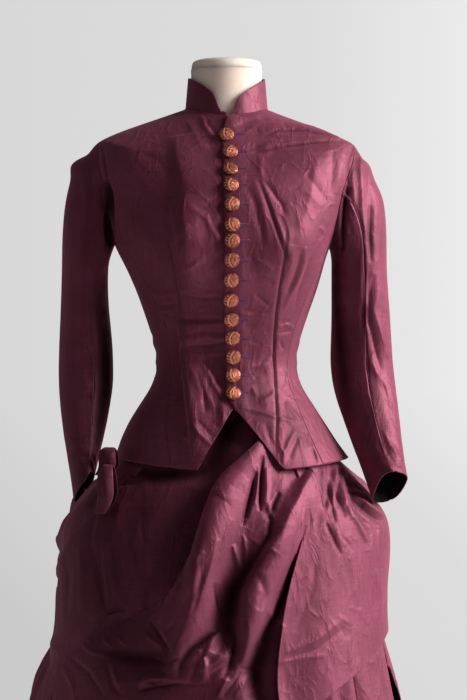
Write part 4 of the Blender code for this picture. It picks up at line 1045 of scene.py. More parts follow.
# The first folds paint shade: in the hollows under the bodice's point and hem, and, with height 0,
# broadly over the panel.
SIDE_PANEL_FOLDS = (
    Fold(-6, 26, ((38, 998), (11, 940), (-13, 892), (-40, 836)), dark=1),
    Fold(-5, 16, ((8, 874), (-62, 858), (-115, 856), (-184, 872)), dark=1),
    Fold(0, 55, ((-19, 862), (-47, 772), (-100, 668)), dark=0.55),
    Fold(0, 90, ((-115, 892), (-160, 758), (-220, 608)), dark=0.45),
) + creases(
    (-5, 6.8, 0.35, -202, 753, -194, 711, -184, 652),
    (3.5, 6, 0.35, -183, 758, -173, 720, -165, 673),
    (-3, 5.2, 0.35, -146, 766, -135, 728, -129, 703),
    (3, 6, 0.35, -221, 749, -215, 707, -217, 648),
    (-3, 5.2, 0.35, -240, 741, -238, 694, -242, 640),
    (-3, 5.2, 0.35, -127, 805, -124, 755, -121, 704),
    (3, 6, 0.35, -162, 794, -154, 747, -147, 688),
    (-2.5, 4.5, 0.35, -193, 766, -189, 712, -183, 653),
    (-3, 5.2, 0.35, -196, 796, -204, 769, -207, 741),
    (2.5, 5.2, 0.35, -158, 814, -164, 784, -167, 753),
    (-2.5, 3.8, 0.35, -189, 845, -158, 839, -127, 845),
    (2, 3.8, 0.35, -176, 851, -149, 847, -121, 853),
    (2, 3, 0.35, -195, 796, -176, 808, -173, 814),
    (2.5, 4.5, 0.35, -183, 644, -150, 656, -120, 678),
    (-2.5, 3.8, 0.35, -209, 631, -183, 647, -150, 663),
    (-2, 3.8, 0.35, -255, 720, -251, 673, -253, 631),
)
# Folds with a dark value paint shade in the hollows and under the edges; those of height 0 are
# painted shade only.
APRON_FOLDS = (                    # first the low drape's hem, and the hollow along its edge
    Fold(0, 2.6, ((-271, 598), (-241, 615), (-212, 626), (-176, 648), (-130, 675), (-100, 698),
         (-76, 718)), sharp=0.3, dark=0.95),
    Fold(-14, 12, ((53, 922), (1, 862), (-41, 807), (-65, 741), (-82, 700), (-115, 668),
         (-160, 640), (-205, 608)), sharp=0.2, dark=0.4),
    Fold(8, 14, ((98, 974), (56, 922), (29, 888), (5, 860), (-19, 818)), lean=0.5),
    Fold(24, 26, ((46, 908), (26, 885), (5, 862), (-10, 838), (-19, 810), (-29, 780), (-38, 750),
         (-46, 720), (-52, 690), (-56, 660), (-67, 622), (-79, 585), (-83, 544)), lean=0.6),
    Fold(-5, 6, ((56, 806), (67, 788), (65, 764), (53, 746), (41, 724),
         (32, 706)), sharp=0.2, dark=0.85),
    Fold(-14, 19, ((53, 746), (26, 710), (8, 682), (2, 650), (-1, 614), (-7, 585)), dark=1),
    Fold(-6, 7, ((5, 634), (-32, 608), (-55, 590), (-67, 572), (-70, 548)), sharp=0.2, dark=0.9),
    Fold(-4, 5, ((-22, 694), (-14, 664), (-7, 634)), sharp=0.3, dark=0.9),
    Fold(-8, 8, ((8, 638), (13, 600), (8, 574), (-1, 548)), dark=0.9),
    Fold(18, 22, ((155, 908), (116, 842), (92, 800), (80, 770), (62, 738), (44, 708), (32, 680),
         (29, 650), (29, 608), (26, 566)), lean=0.6),
    Fold(-10, 7, ((106, 735), (91, 680), (74, 640), (56, 602)), dark=1),
    Fold(-14, 18, ((74, 640), (53, 596), (46, 566), (47, 532), (56, 500)), dark=1),
    Fold(-6, 22, ((-196, 590), (-137, 578), (-103, 578), (-79, 592)), dark=0.9),
    Fold(0, 60, ((-220, 652), (-145, 596), (-82, 518)), dark=0.6),
    Fold(0, 30, ((-40, 532), (-2, 520), (53, 514)), dark=0.5),
    Fold(-6, 3.5, ((41, 856), (37, 832), (31, 810), (23, 778)), sharp=0.4, dark=0.95),
    Fold(-6, 2.6, ((52, 880), (50, 848), (50, 800)), sharp=0.4, dark=0.95),
    Fold(-4, 3, ((79, 830), (71, 810), (64, 790)), sharp=0.4, dark=0.8),
    Fold(5, 5, ((-41, 592), (-31, 572), (-35, 544)), sharp=0.3),
    Fold(6, 8, ((-4, 628), (-22, 608), (-32, 584)), sharp=0.2, lean=0.3),
    Fold(4, 3, ((-92, 728), (-91, 698), (-89, 662)), sharp=0.5),
    Fold(4, 4, ((-70, 740), (-73, 705), (-83, 676)), sharp=0.5),
    Fold(4.5, 2.8, ((-55, 734), (-71, 708), (-88, 680)), sharp=0.6),
    Fold(3.5, 2.6, ((-82, 710), (-94, 686), (-104, 662)), sharp=0.6),
    Fold(4, 3.5, ((-107, 704), (-121, 680), (-130, 656)), sharp=0.5),
    Fold(5, 3, ((-40, 738), (-61, 706), (-79, 676), (-103, 634)), sharp=0.6),
    Fold(-4, 2.5, ((-115, 638), (-97, 608), (-82, 588)), sharp=0.5, dark=0.8),
    Fold(5, 3, ((-133, 542), (-115, 550), (-88, 549)), sharp=0.6),
    Fold(-4, 3, ((-133, 532), (-100, 538), (-67, 543)), sharp=0.5, dark=0.8),
) + creases(
    (4, 4, 0.4, 8, 750, 16, 728, 23, 698),
    (3, 3, 0.4, 25, 765, 29, 742, 26, 718),
    (3, 3, 0.4, 2, 608, 8, 585, 17, 566),
    (-6, 3.8, 0.4, 40, 846, 37, 821, 27, 788),
    (-6, 3, 0.5, 52, 862, 52, 836, 51, 810),
    (-3.5, 3.8, 0.35, 80, 827, 72, 811, 69, 795),
    (2.5, 4.5, 0.35, 61, 814, 69, 793, 75, 772),
    (3, 4.5, 0.35, 46, 866, 45, 836, 41, 808),
    (2.5, 4.5, 0.35, 59, 866, 60, 839, 59, 808),
    (-3, 3, 0.4, 115, 778, 108, 753, 103, 729),
    (-2.2, 3, 0.35, 118, 801, 125, 778, 130, 753, 125, 735),
    (2.2, 3.8, 0.35, 111, 802, 105, 772, 93, 741),
    (1.6, 2.2, 0.35, 5, 788, -5, 767, -15, 739),
    (-2, 4.5, 0.35, -17, 814, -29, 784, -42, 753),
    (1.5, 3, 0.35, -35, 808, -23, 814, -8, 824),
    (3, 4.5, 0.35, -66, 718, -74, 680, -99, 631),
    (-3.5, 4.5, 0.35, -91, 713, -92, 673, -125, 654),
    (3.2, 4.5, 0.35, -112, 688, -133, 656, -140, 643),
    (3.5, 5.2, 0.35, -48, 732, -57, 688, -82, 640, -99, 618),
    (-3.5, 4.5, 0.35, -57, 678, -76, 631, -91, 619),
    (2.6, 3.8, 0.35, -188, 612, -173, 597),
    (2.4, 3.8, 0.35, -162, 612, -153, 600),
    (3, 4.5, 0.35, -172, 568, -162, 542, -150, 547),
    (-3, 4.5, 0.35, -183, 577, -171, 539, -158, 522),
    (3.5, 4.5, 0.35, -139, 538, -118, 553, -99, 555, -74, 542),
    (-3, 3.8, 0.35, -133, 528, -108, 542, -82, 532),
    (3, 3.8, 0.35, -129, 547, -112, 539, -91, 545),
    (-4, 5.2, 0.35, -15, 690, -7, 656, -19, 619),
    (-3.5, 5.2, 0.35, 46, 703, 52, 678, 44, 652),
    (-3.5, 4.5, 0.35, -15, 619, -36, 581, -57, 539),
    (3, 4.5, 0.35, -15, 623, -27, 589, -40, 560),
    (2.6, 3.8, 0.35, -40, 559, -6, 582),
    (-2.6, 3.8, 0.35, -36, 547, 3, 572),
    (2.6, 3.8, 0.35, -15, 521, 3, 555, 10, 560),
    (-2.6, 3.8, 0.35, -6, 522, 14, 547, 23, 560),
    (2.6, 3.8, 0.35, 11, 521, 36, 555),
    (2.2, 3.8, 0.35, 35, 522, 56, 547, 69, 560),
    (3, 4.5, 0.35, 115, 762, 101, 703, 82, 656),
    (2.4, 4.5, 0.35, -74, 745, -82, 720, -87, 699),
    (-2.4, 4.5, 0.35, -40, 720, -48, 673, -57, 648),
    (3, 5.2, 0.35, -19, 758, -32, 711, -49, 665),
    (2.5, 3.8, 0.35, -226, 610, -200, 589, -171, 581),
    (-2.5, 4.5, 0.35, -234, 581, -209, 560, -183, 522),
    (2.2, 4.5, 0.35, -247, 572, -230, 539, -226, 505),
    (2.2, 3.8, 0.35, -125, 619, -99, 598, -87, 572),
    (-2.6, 3.8, 0.35, -116, 581, -91, 572, -70, 581),
)
BIG_PANEL_FOLDS = creases(
    (-9, 6, 0.2, 68, 890, 86, 866, 106, 832, 116, 800, 115, 772),
    (-1.2, 1.8, 0.35, 150, 781, 161, 762, 170, 740),
    (0.9, 3, 0.35, 159, 784, 168, 765, 179, 747),
    (-3, 3.8, 0.35, 159, 866, 154, 836, 148, 802),
    (2.6, 3.8, 0.35, 164, 866, 161, 836, 157, 802),
    (-3, 3, 0.35, 170, 866, 167, 839, 167, 805),
    (2.6, 3.8, 0.35, 177, 866, 174, 839, 177, 808),
    (-2.6, 3, 0.35, 182, 863, 185, 836, 194, 802),
    (2, 3.8, 0.35, 148, 866, 142, 839, 137, 808),
    (-2, 3.8, 0.35, 133, 866, 130, 839, 127, 814),
    (2, 4.5, 0.35, 121, 866, 119, 836, 122, 802),
    (-2, 3.8, 0.35, 93, 857, 84, 839, 79, 821),
    (2.2, 3.8, 0.35, 99, 860, 96, 833, 93, 808),
    (-2.6, 3.8, 0.35, 188, 824, 203, 801, 223, 780),
    (2.4, 3.8, 0.35, 193, 830, 209, 808, 228, 793),
    (-2.2, 3.8, 0.35, 191, 808, 206, 787, 225, 769),
    (1.5, 5.2, 0.35, 91, 587, 132, 605, 174, 639),
    (-1.2, 4.5, 0.35, 94, 577, 136, 593, 179, 627),
    (0.8, 3, 0.35, 166, 645, 188, 630),
    (-0.8, 3, 0.35, 170, 631, 179, 609),
    (0.7, 3, 0.35, 183, 656, 200, 652, 212, 631),
    (1.4, 4.5, 0.35, 82, 572, 115, 580, 149, 584),
    (1.6, 6, 0.35, 183, 749, 191, 699, 195, 656),
    (-1.8, 5.2, 0.35, 208, 741, 214, 694, 221, 647),
    (1.8, 4.5, 0.35, 221, 715, 229, 673, 227, 631),
    (1.2, 3, 0.35, 184, 610, 186, 560),
    (-1, 6, 0.35, 136, 732, 128, 682, 103, 619),
    (-1.1, 1.8, 0.35, 170, 766, 181, 753, 189, 739),
    (2.6, 3.8, 0.35, 86, 631, 75, 598, 71, 560, 77, 539),
)
# Their dark values paint shade in the troughs.
HIP_FOLDS = (
    Fold(-5, 5, ((182, 834), (200, 824), (227, 814)), sharp=0.3, dark=0.8),
    Fold(-4, 4, ((185, 825), (203, 806), (227, 782)), sharp=0.3, dark=0.6),
    Fold(4, 4, ((191, 825), (212, 806), (236, 792)), sharp=0.3),
    Fold(-4, 4, ((185, 816), (200, 790), (215, 766)), sharp=0.3, dark=0.6),
    Fold(3.5, 4, ((182, 808), (197, 782), (209, 754)), sharp=0.3),
    Fold(-4, 4, ((167, 866), (185, 842), (212, 831)), sharp=0.3, dark=0.5),
    Fold(3, 5, ((173, 874), (197, 856), (218, 836)), sharp=0.3),
    Fold(-3, 3, ((155, 878), (164, 832), (178, 790)), sharp=0.4, dark=0.5),
    Fold(3, 3.5, ((161, 878), (172, 832), (188, 788)), sharp=0.4),
    Fold(-3, 3, ((148, 874), (155, 825), (163, 782)), sharp=0.4, dark=0.4),
    Fold(-3, 5, ((142, 878), (145, 840), (148, 808)), sharp=0.2, dark=0.5),
    Fold(-2.5, 2.4, ((149, 784), (161, 758), (172, 735)), sharp=0.5, dark=0.6),
)
SIDE_FOLDS = tuple(
    Fold(height, 4, ((y - 25, z), (y, z + 3), (y + 22, z - 2)), face)
    for face in (Face.LEFT, Face.RIGHT)
    for height, y, z in (
        (-1.2, 10, 1062), (1.2, 16, 1050), (-1.0, 4, 1036), (1.2, 12, 1022), (-1.3, 20, 1008))
)
BACK_FOLDS = creases(
    (-1.4, 5, 0, -90, 1066, -50, 1058, -8, 1062),
    (1.3, 5, 0, -84, 1052, -40, 1046, -10, 1050),
    (-1.3, 4, 0, 12, 1048, 48, 1040, 86, 1050),
    (1.4, 5, 0, 10, 1034, 52, 1028, 80, 1034),
    (-1.2, 5, 0, -80, 1024, -46, 1020, -12, 1026),
    (1.6, 8, 0, -150, 1300, -110, 1270, -60, 1262),
    (-1.5, 7, 0, -148, 1280, -104, 1250, -64, 1244),
    (1.6, 8, 0, 146, 1306, 104, 1272, 58, 1258),
    (-1.4, 7, 0, 140, 1284, 108, 1256, 70, 1240),
    (1.3, 9, 0, -40, 1370, -30, 1330, -34, 1290),
    (-1.2, 8, 0, 36, 1372, 30, 1336, 38, 1296),
    (1.2, 10, 0, -118, 1210, -96, 1150, -88, 1100),
    (-1.2, 9, 0, 112, 1220, 96, 1160, 84, 1110),
    face=Face.BACK,
)
PUFF_FOLDS = (
    *(Fold(height, 7, ((x, 985), (x * 1.25, 930), (x * lean, low)), Face.BACK)
      for height, x, lean, low in (
          (-5, -78, 1.7, 850), (4, -66, 1.6, 830), (-5, -52, 1.6, 860), (5, -38, 1.5, 800),
          (-4, -26, 1.4, 845), (-6, -6, 1.4, 790), (5, 6, 1.4, 850), (-4, 20, 1.5, 820),
          (5, 34, 1.5, 860), (-6, 46, 1.5, 800), (4, 62, 1.6, 850), (-5, 76, 1.7, 830))),
    *creases(
        (9, 20, 0, -232, 812, -130, 748, -20, 716, 60, 722),
        (-8, 15, 0, -236, 790, -150, 722, -60, 694),
        (8, 18, 0, 236, 800, 150, 752, 70, 742, 0, 752),
        (-8, 14, 0, 232, 776, 140, 724, 40, 704, -20, 700),
        (6, 13, 0, -210, 735, -120, 684, -20, 668, 90, 672),
        (-6, 12, 0, -150, 800, -60, 762, 30, 764),
        (5, 12, 0, 40, 800, 120, 782, 190, 812),
        (-5, 10, 0, 70, 690, 150, 694, 220, 728),
        face=Face.BACK,
    ),
    *(Fold(height, 10, ((y, z), (y + 60, z - 34), (y + 150, z - 50), (y + 240, z - 20)), face)
      for face in (Face.LEFT, Face.RIGHT)
      for height, y, z in ((7, 20, 850), (-7, 10, 822), (6, 24, 790), (-6, 40, 762), (5, 60, 730))),
)
TAIL_FOLDS = (
    *(Fold(height, width, ((x, 640), (x * 1.06, 560), (x * 1.15, 470), (x * 1.2, 380)), Face.BACK)
      for height, width, x in (
          (9, 16, -196), (-9, 14, -158), (8, 17, -120), (-8, 14, -82), (10, 18, -44), (-9, 15, -4),
          (8, 16, 32), (-9, 14, 70), (9, 17, 112), (-8, 15, 150), (8, 14, 190))),
    Fold(6, 14, ((-180, 560), (-60, 500), (40, 490)), Face.BACK),
    Fold(-5, 12, ((20, 540), (120, 500), (210, 520)), Face.BACK),
    *(Fold(height, 12, ((y, 640), (y + 8, 540), (y + 20, 420)), face)
      for face in (Face.LEFT, Face.RIGHT)
      for height, y in ((7, 20), (-7, 60), (8, 110), (-7, 160), (7, 210), (-6, 260), (7, 310))),
)


# ---------------------------------------------------------------- pushes on the whole surface

NUDGES = (
    # The sleeve heads have a firm corner, not a curve.
    Nudge((-230, 0, 1316), (-7, 0, 3), (16, 60, 14)),
    Nudge((-205, 0, 1335), (3, 0, -4), (14, 60, 12)),
    Nudge((222, 0, 1300), (-7, 0, -2), (20, 60, 26)),
    Nudge((212, 0, 1339), (-6, 0, -6), (15, 60, 14)),
    # The right sleeve is slimmer at the elbow, and the low drape ends in a corner.
    Nudge((-178, 0, 1030), (4, 0, 0), (20, 80, 110)),
    Nudge((-265, -60, 604), (-5, 0, 0), (14, 110, 9)),
    # The cuffs are cut higher in front than behind.
    Nudge((-185, -95, 848), (0, -4, 16), (24, 18, 30)),
    Nudge((-215, -60, 826), (2, 6, -7), (20, 22, 22)),
    Nudge((225, -92, 846), (0, -4, 18), (26, 18, 32)),
    Nudge((240, -45, 830), (2, 6, -12), (26, 22, 26)),
    # The left hip is full, and the pointed panel's long edge swings out low down.
    Nudge((240, -25, 750), (8, 0, 0), (50, 110, 85)),
    Nudge((85, -200, 570), (-13, 0, 0), (26, 60, 45)),
)


# ---------------------------------------------------------------- sewing

@dataclass(frozen=True)
class Row:
    """A line of sewing on the cloth: its path in millimetres as the front view shows it."""
    cloth: str
    path: tuple[tuple[float, float], ...]

    def lay(self, lift: float, step: float = 3.0) -> tuple[Array, Array]:
        """Follows the cloth under the path.

        Args:
            lift: how far the thread's middle stands off the cloth, in metres.
            step: the longest distance between two places, in millimetres.

        Returns:
            The places and the directions across the row.
        """
        flat = []
        for (ax, az), (bx, bz) in zip(self.path, self.path[1:]):
            count = max(1, math.ceil(math.hypot(bx - ax, bz - az) / step))
            flat += [(ax + (bx - ax) * i / count, az + (bz - az) * i / count)
                     for i in range(count)]
        flat.append(self.path[-1])
        found = [EYE.drop(x * MM, z * MM, CLOTHS[self.cloth]) for x, z in flat]
        places = np.array([place + normal * lift for place, normal in found])
        normals = np.array([normal for _, normal in found])
        return places, np.cross(normals, np.gradient(places, axis=0))


class StitchTree:
    """The node tree that sets one stitch at each step along a row."""

    def __init__(self) -> None:
        """Builds the tree with its named inputs."""
        tree = bpy.data.node_groups.new("stitch_row", "GeometryNodeTree")
        self.tree = tree
        face = tree.interface
        face.new_socket("Geometry", in_out="INPUT", socket_type="NodeSocketGeometry")
        for name in ("Spacing", "Stitch Length", "Thread Width", "Crosswise"):
            face.new_socket(name, in_out="INPUT", socket_type="NodeSocketFloat")
        face.new_socket("Thread", in_out="INPUT", socket_type="NodeSocketMaterial")
        face.new_socket("Geometry", in_out="OUTPUT", socket_type="NodeSocketGeometry")
        given = add_node(tree, "NodeGroupInput").outputs
        curve = add_node(tree, "GeometryNodeMeshToCurve", {0: given["Geometry"]})
        steps = add_node(tree, "GeometryNodeResampleCurve", {
            "Curve": curve.outputs[0], "Length": given["Spacing"]}, mode="LENGTH")
        tangent = add_node(tree, "GeometryNodeInputTangent").outputs[0]
        across = add_node(tree, "GeometryNodeInputNamedAttribute", {"Name": "across"},
                          data_type="FLOAT_VECTOR").outputs[0]
        lie = add_node(tree, "ShaderNodeMix", {0: given["Crosswise"], 4: tangent, 5: across},
                       data_type="VECTOR")
        turn = add_node(tree, "FunctionNodeAlignRotationToVector", {"Vector": lie.outputs[1]},
                        axis="X")
        half = [add_node(tree, "ShaderNodeMath", {0: given[name], 1: 0.5},
                         operation="MULTIPLY").outputs[0]
                for name in ("Stitch Length", "Thread Width")]
        size = add_node(tree, "ShaderNodeCombineXYZ", {0: half[0], 1: half[1], 2: half[1]})
        thread = add_node(tree, "GeometryNodeMeshUVSphere", {
            "Segments": 6, "Rings": 4, "Radius": 1.0})
        rows = add_node(tree, "GeometryNodeInstanceOnPoints", {
            "Points": steps.outputs[0], "Instance": thread.outputs[0], "Rotation": turn.outputs[0],
            "Scale": size.outputs[0]})
        real = add_node(tree, "GeometryNodeRealizeInstances", {0: rows.outputs[0]})
        dressed = add_node(tree, "GeometryNodeSetMaterial", {
            "Geometry": real.outputs[0], "Material": given["Thread"]})
        add_node(tree, "NodeGroupOutput", {0: dressed.outputs[0]})

    def sew(self, name: str, rows: list[tuple[Array, Array]], thread: bpy.types.Material,
            spacing: float, length: float, width: float,
            crosswise: bool = False) -> bpy.types.Object:
        """Sews rows of stitches as one piece.

        Args:
            name: the piece's name.
            rows: each row's places and crosswise directions.
            thread: the thread's finish.
            spacing: from one stitch to the next, in millimetres.
            length: each stitch's length, in millimetres.
            width: the thread's width, in millimetres.
            crosswise: whether the stitches lie across the row.

        Returns:
            The piece.
        """
        places = np.concatenate([row[0] for row in rows])
        ends = np.cumsum([len(row[0]) for row in rows])
        links = [(i, i + 1) for i in range(len(places) - 1) if i + 1 not in ends]
        mesh = bpy.data.meshes.new(name)
        mesh.from_pydata(places.tolist(), links, [])
        across = mesh.attributes.new("across", "FLOAT_VECTOR", "POINT")
        across.data.foreach_set("vector", np.concatenate([row[1] for row in rows]).ravel())
        obj = bpy.data.objects.new(name, mesh)
        bpy.context.scene.collection.objects.link(obj)
        sewn = obj.modifiers.new("stitches", "NODES")
        sewn.node_group = self.tree
        values = {"Spacing": spacing * MM, "Stitch Length": length * MM,
                  "Thread Width": width * MM, "Crosswise": float(crosswise), "Thread": thread}
        for item in self.tree.interface.items_tree:
            if item.item_type == "SOCKET" and item.in_out == "INPUT" and item.name in values:
                sewn[item.identifier] = values[item.name]
        evaluated(obj).shade_smooth()
        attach(obj, "root")
        log.info("%s: %d faces", name, len(obj.data.polygons))
        return obj


STITCHES = StitchTree()


# ---------------------------------------------------------------- sub-assemblies

@dataclass(frozen=True)
class Buttons:
    """Fifteen stamped dome buttons: a roped rim, a bent stem, and a beaded ground beside it."""
    count: int = 15
    rim: float = 0.90              # where the roped rim begins, as a share of the radius
    strands: int = 30
    twist: float = 16.0            # how the strands slant
    groove: float = 0.03           # the width of the line inside the rim
    stem: float = 0.42             # how far the stem's bow stands off the middle
    stem_width: float = 0.13
    bead: float = 0.20             # from one bead of the ground to the next
    veins: tuple[float, float] = (3.0, 17.0)      # of the leaf, as waves across and along it
    relief: float = 0.75           # millimetres
    brim: float = 0.35             # how high the dome starts at its edge, as a share of the whole
    flat: float = 0.94             # how much of a half circle the dome is
    back: tuple[float, float] = (0.15, 0.97)      # the back edge's height and radius
    swing: tuple[float, float] = (0.35, 2.4)      # how far they are turned, and how it varies
    shrink: float = 0.95           # the metal against the size with its shank and bezel
    rings: int = 22
    steps: int = 72

    def raised(self, out: Array, turn: Array) -> Array:
        """Gives the stamp's height.

        Args:
            out: how far out each place is, as a share of the radius.
            turn: its angle.

        Returns:
            Each height, from 0 to 1.
        """
        x, y = out * np.sin(turn), out * np.cos(turn)
        rope = 0.62 + 0.38 * np.cos(self.strands * turn + self.twist * out)
        edge = np.clip((1.0 - out) / 0.05, 0.0, 1.0)
        away = x + self.stem * (1.0 - (y / self.rim) ** 2)
        stem = np.exp(-(away / self.stem_width) ** 2)
        beads = 0.5 + 0.25 * np.cos(math.tau * (x + 0.5 * y) / self.bead) + 0.25 * np.cos(
            math.tau * (x - 0.5 * y) / self.bead)
        ribs = 0.45 + 0.35 * np.cos(self.veins[1] * y + self.veins[0] * x)
        ground = np.where(away > 0, beads * 0.8, ribs)
        groove = 1.0 - 0.9 * np.exp(-((out - self.rim) / self.groove) ** 2)
        gutter = 1.0 - 0.8 * np.exp(-((np.abs(away) - 1.7 * self.stem_width) / 0.05) ** 2)
        return np.where(out > self.rim, rope * edge, np.maximum(ground * gutter, stem)) * groove

    def build(self) -> None:
        """Makes each button on its own node's place and axis."""
        for i in range(1, self.count + 1):
            node = f"button_{i:02d}"
            points, _ = coordinates(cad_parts[node].data)
            middle = points.mean(axis=0)
            axis = np.linalg.svd(points - middle, full_matrices=False)[2][2]
            axis = axis if axis[1] < 0 else -axis
            up = np.array([0.0, 0.0, 1.0]) - axis * axis[2]
            up /= np.linalg.norm(up)
            side = np.cross(up, axis)
            height = (points - middle) @ axis
            radius = self.shrink * max(np.abs((points - middle) @ up).max(),
                                       np.abs((points - middle) @ side).max())
            low, tall = height.min(), np.ptp(height)
            out = np.linspace(0.0, 1.0, self.rings + 1)[1:]
            turn = np.arange(self.steps) * math.tau / self.steps
            tilt = self.swing[0] * math.sin(self.swing[1] * i)    # no two are sewn quite alike
            o, t = np.meshgrid(out, turn, indexing="ij")
            stamp = self.raised(o, t + tilt)
            dome = self.brim + (1 - self.brim) * np.sqrt(np.clip(1 - (o * self.flat) ** 2, 0, 1))
            rise = low + (tall - self.relief * MM) * dome + self.relief * MM * stamp
            ring = (middle + axis * rise[..., None] + radius * o[..., None]
                    * (up * np.cos(t)[..., None] + side * np.sin(t)[..., None]))
            back = (middle + axis * (low + self.back[0] * tall) + radius * self.back[1]
                    * (up * np.cos(t[-1])[:, None] + side * np.sin(t[-1])[:, None]))
            n, count = self.steps, self.rings * self.steps
            verts = [*ring.reshape(-1, 3), *back, middle + axis * (low + tall), middle + axis * low]
            faces = [(r * n + c, (r + 1) * n + c, (r + 1) * n + (c + 1) % n, r * n + (c + 1) % n)
                     for r in range(self.rings) for c in range(n)]
            faces += [(count + n, c, (c + 1) % n) for c in range(n)]
            faces += [(count + n + 1, count + (c + 1) % n, count + c) for c in range(n)]
            mesh = bpy.data.meshes.new(node + "_stamped")
            mesh.from_pydata([tuple(v) for v in verts], [], faces)
            relief = mesh.attributes.new("relief", "FLOAT", "POINT")
            relief.data.foreach_set("value", [*stamp.ravel(), *np.full(n, 0.2), 0.9, 0.2])
            outwards(mesh)
            hand_over(show(node + "_stamped", mesh, COPPER), node)


def outwards(mesh: bpy.types.Mesh) -> None:
    """Turns a closed mesh's faces outwards.

    Args:
        mesh: the mesh, which is changed.
    """
    closed = bmesh.new()
    closed.from_mesh(mesh)
    bmesh.ops.recalc_face_normals(closed, faces=closed.faces)
    closed.to_mesh(mesh)
    closed.free()


@dataclass(frozen=True)
class Bodice:
    """The fitted bodice: eight panels and a two-piece collar, with a dart in each front."""
    pieces: tuple[Cloth, ...] = (
        Cloth("bodice_front_left", (0.26, 0.53), 0.087, level=4,
              folds=FRONT_LEFT_FOLDS + DART_FOLDS["left"]),
        Cloth("bodice_front_right", (0.26, 0.53), 0.087, level=4,
              folds=FRONT_RIGHT_FOLDS + DART_FOLDS["right"]),
        Cloth("bodice_side_left", (0.13, 0.37), 0.036, folds=SIDE_FOLDS),
        Cloth("bodice_side_right", (0.13, 0.37), 0.036, folds=SIDE_FOLDS),
        Cloth("bodice_side_back_left", (0.16, 0.38), 0.042, level=2, folds=BACK_FOLDS),
        Cloth("bodice_side_back_right", (0.16, 0.38), 0.041, level=2, folds=BACK_FOLDS),
        Cloth("bodice_back_left", (0.20, 0.54), 0.076, folds=BACK_FOLDS),
        Cloth("bodice_back_right", (0.20, 0.54), 0.076, folds=BACK_FOLDS),
        Cloth("collar_left", (0.19, 0.05), 0.0078, crumple=Crumple(0.25)),
        Cloth("collar_right", (0.19, 0.05), 0.0074, crumple=Crumple(0.25)),
    )
    dart_width: float = 0.9        # millimetres, as is all sewing below
    hole_start: float = 8.0        # from the button's middle
    hole_end: float = 24.5
    hole_gap: float = 1.9          # between the two stitched edges
    lift: float = 0.3              # how far the twist's middle stands off the cloth
    uneven: tuple[float, ...] = (      # how much longer each buttonhole is, from the first down
        3.0, 0.0, -1.5, 0.5, 1.0, 0.0, 1.5, -1.0, 0.5, 0.0, 1.0, 0.5, -0.5, 0.0, -1.0)

    def build(self) -> None:
        """Makes the panels, then sews the darts and buttonholes."""
        for piece in self.pieces:
            piece.build()
        darts = [Row("bodice_front_" + side, path).lay(0.0)
                 for side, paths in DARTS.items() for path in paths]
        # The dark stitches along each dart paint the shadow line of its seam.
        sewn = STITCHES.sew("dart_seam_shadow", darts, SHADOW_LINE_THREAD, spacing=1.8, length=2.2,
                            width=self.dart_width)
        holes = []
        for i, more in enumerate(self.uneven, 1):
            low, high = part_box(f"button_{i:02d}")
            x, z = Face.FRONT.flatten(np.array([(low + high) / 2]))[0] / MM
            for up in (-self.hole_gap / 2, self.hole_gap / 2):
                path = ((x + self.hole_start, z + up), (x + self.hole_end + more, z + up))
                holes.append(Row("bodice_front_left", path).lay(self.lift * MM, step=1.5))
        STITCHES.sew("buttonholes", holes, TWIST, spacing=0.8, length=2.0, width=0.7,
                     crosswise=True)
        # A dark thread down each buttonhole's middle paints the shade in its slit.
        slits = [((a[0] + b[0]) / 2, a[1]) for a, b in zip(holes[::2], holes[1::2])]
        STITCHES.sew("buttonhole_slit_shadow", slits, SHADOW_LINE_THREAD, spacing=1.2, length=1.6, width=0.6)


@dataclass(frozen=True)
class Sleeves:
    """Two-piece coat sleeves, set high, curved to the arm, and open at the cuff."""
    pieces: tuple[Cloth, ...] = (
        Cloth("sleeve_upper_left", (0.19, 0.56), 0.076, level=4, folds=SLEEVE_LEFT_FOLDS),
        Cloth("sleeve_under_left", (0.16, 0.47), 0.056, folds=SLEEVE_LEFT_FOLDS),
        Cloth("sleeve_upper_right", (0.19, 0.56), 0.076, level=4, folds=SLEEVE_RIGHT_FOLDS),
        Cloth("sleeve_under_right", (0.15, 0.47), 0.046, folds=SLEEVE_RIGHT_FOLDS),
    )

    def build(self) -> None:
        """Makes the four pieces."""
        for piece in self.pieces:
            piece.build()


@dataclass(frozen=True)
class Bow:
    """A bow end of the side loop, in millimetres: half its width, depth and height."""
    share: tuple[float, float, float]   # where its middle is in the loop's box
    wide: float
    deep: float
    tall: float


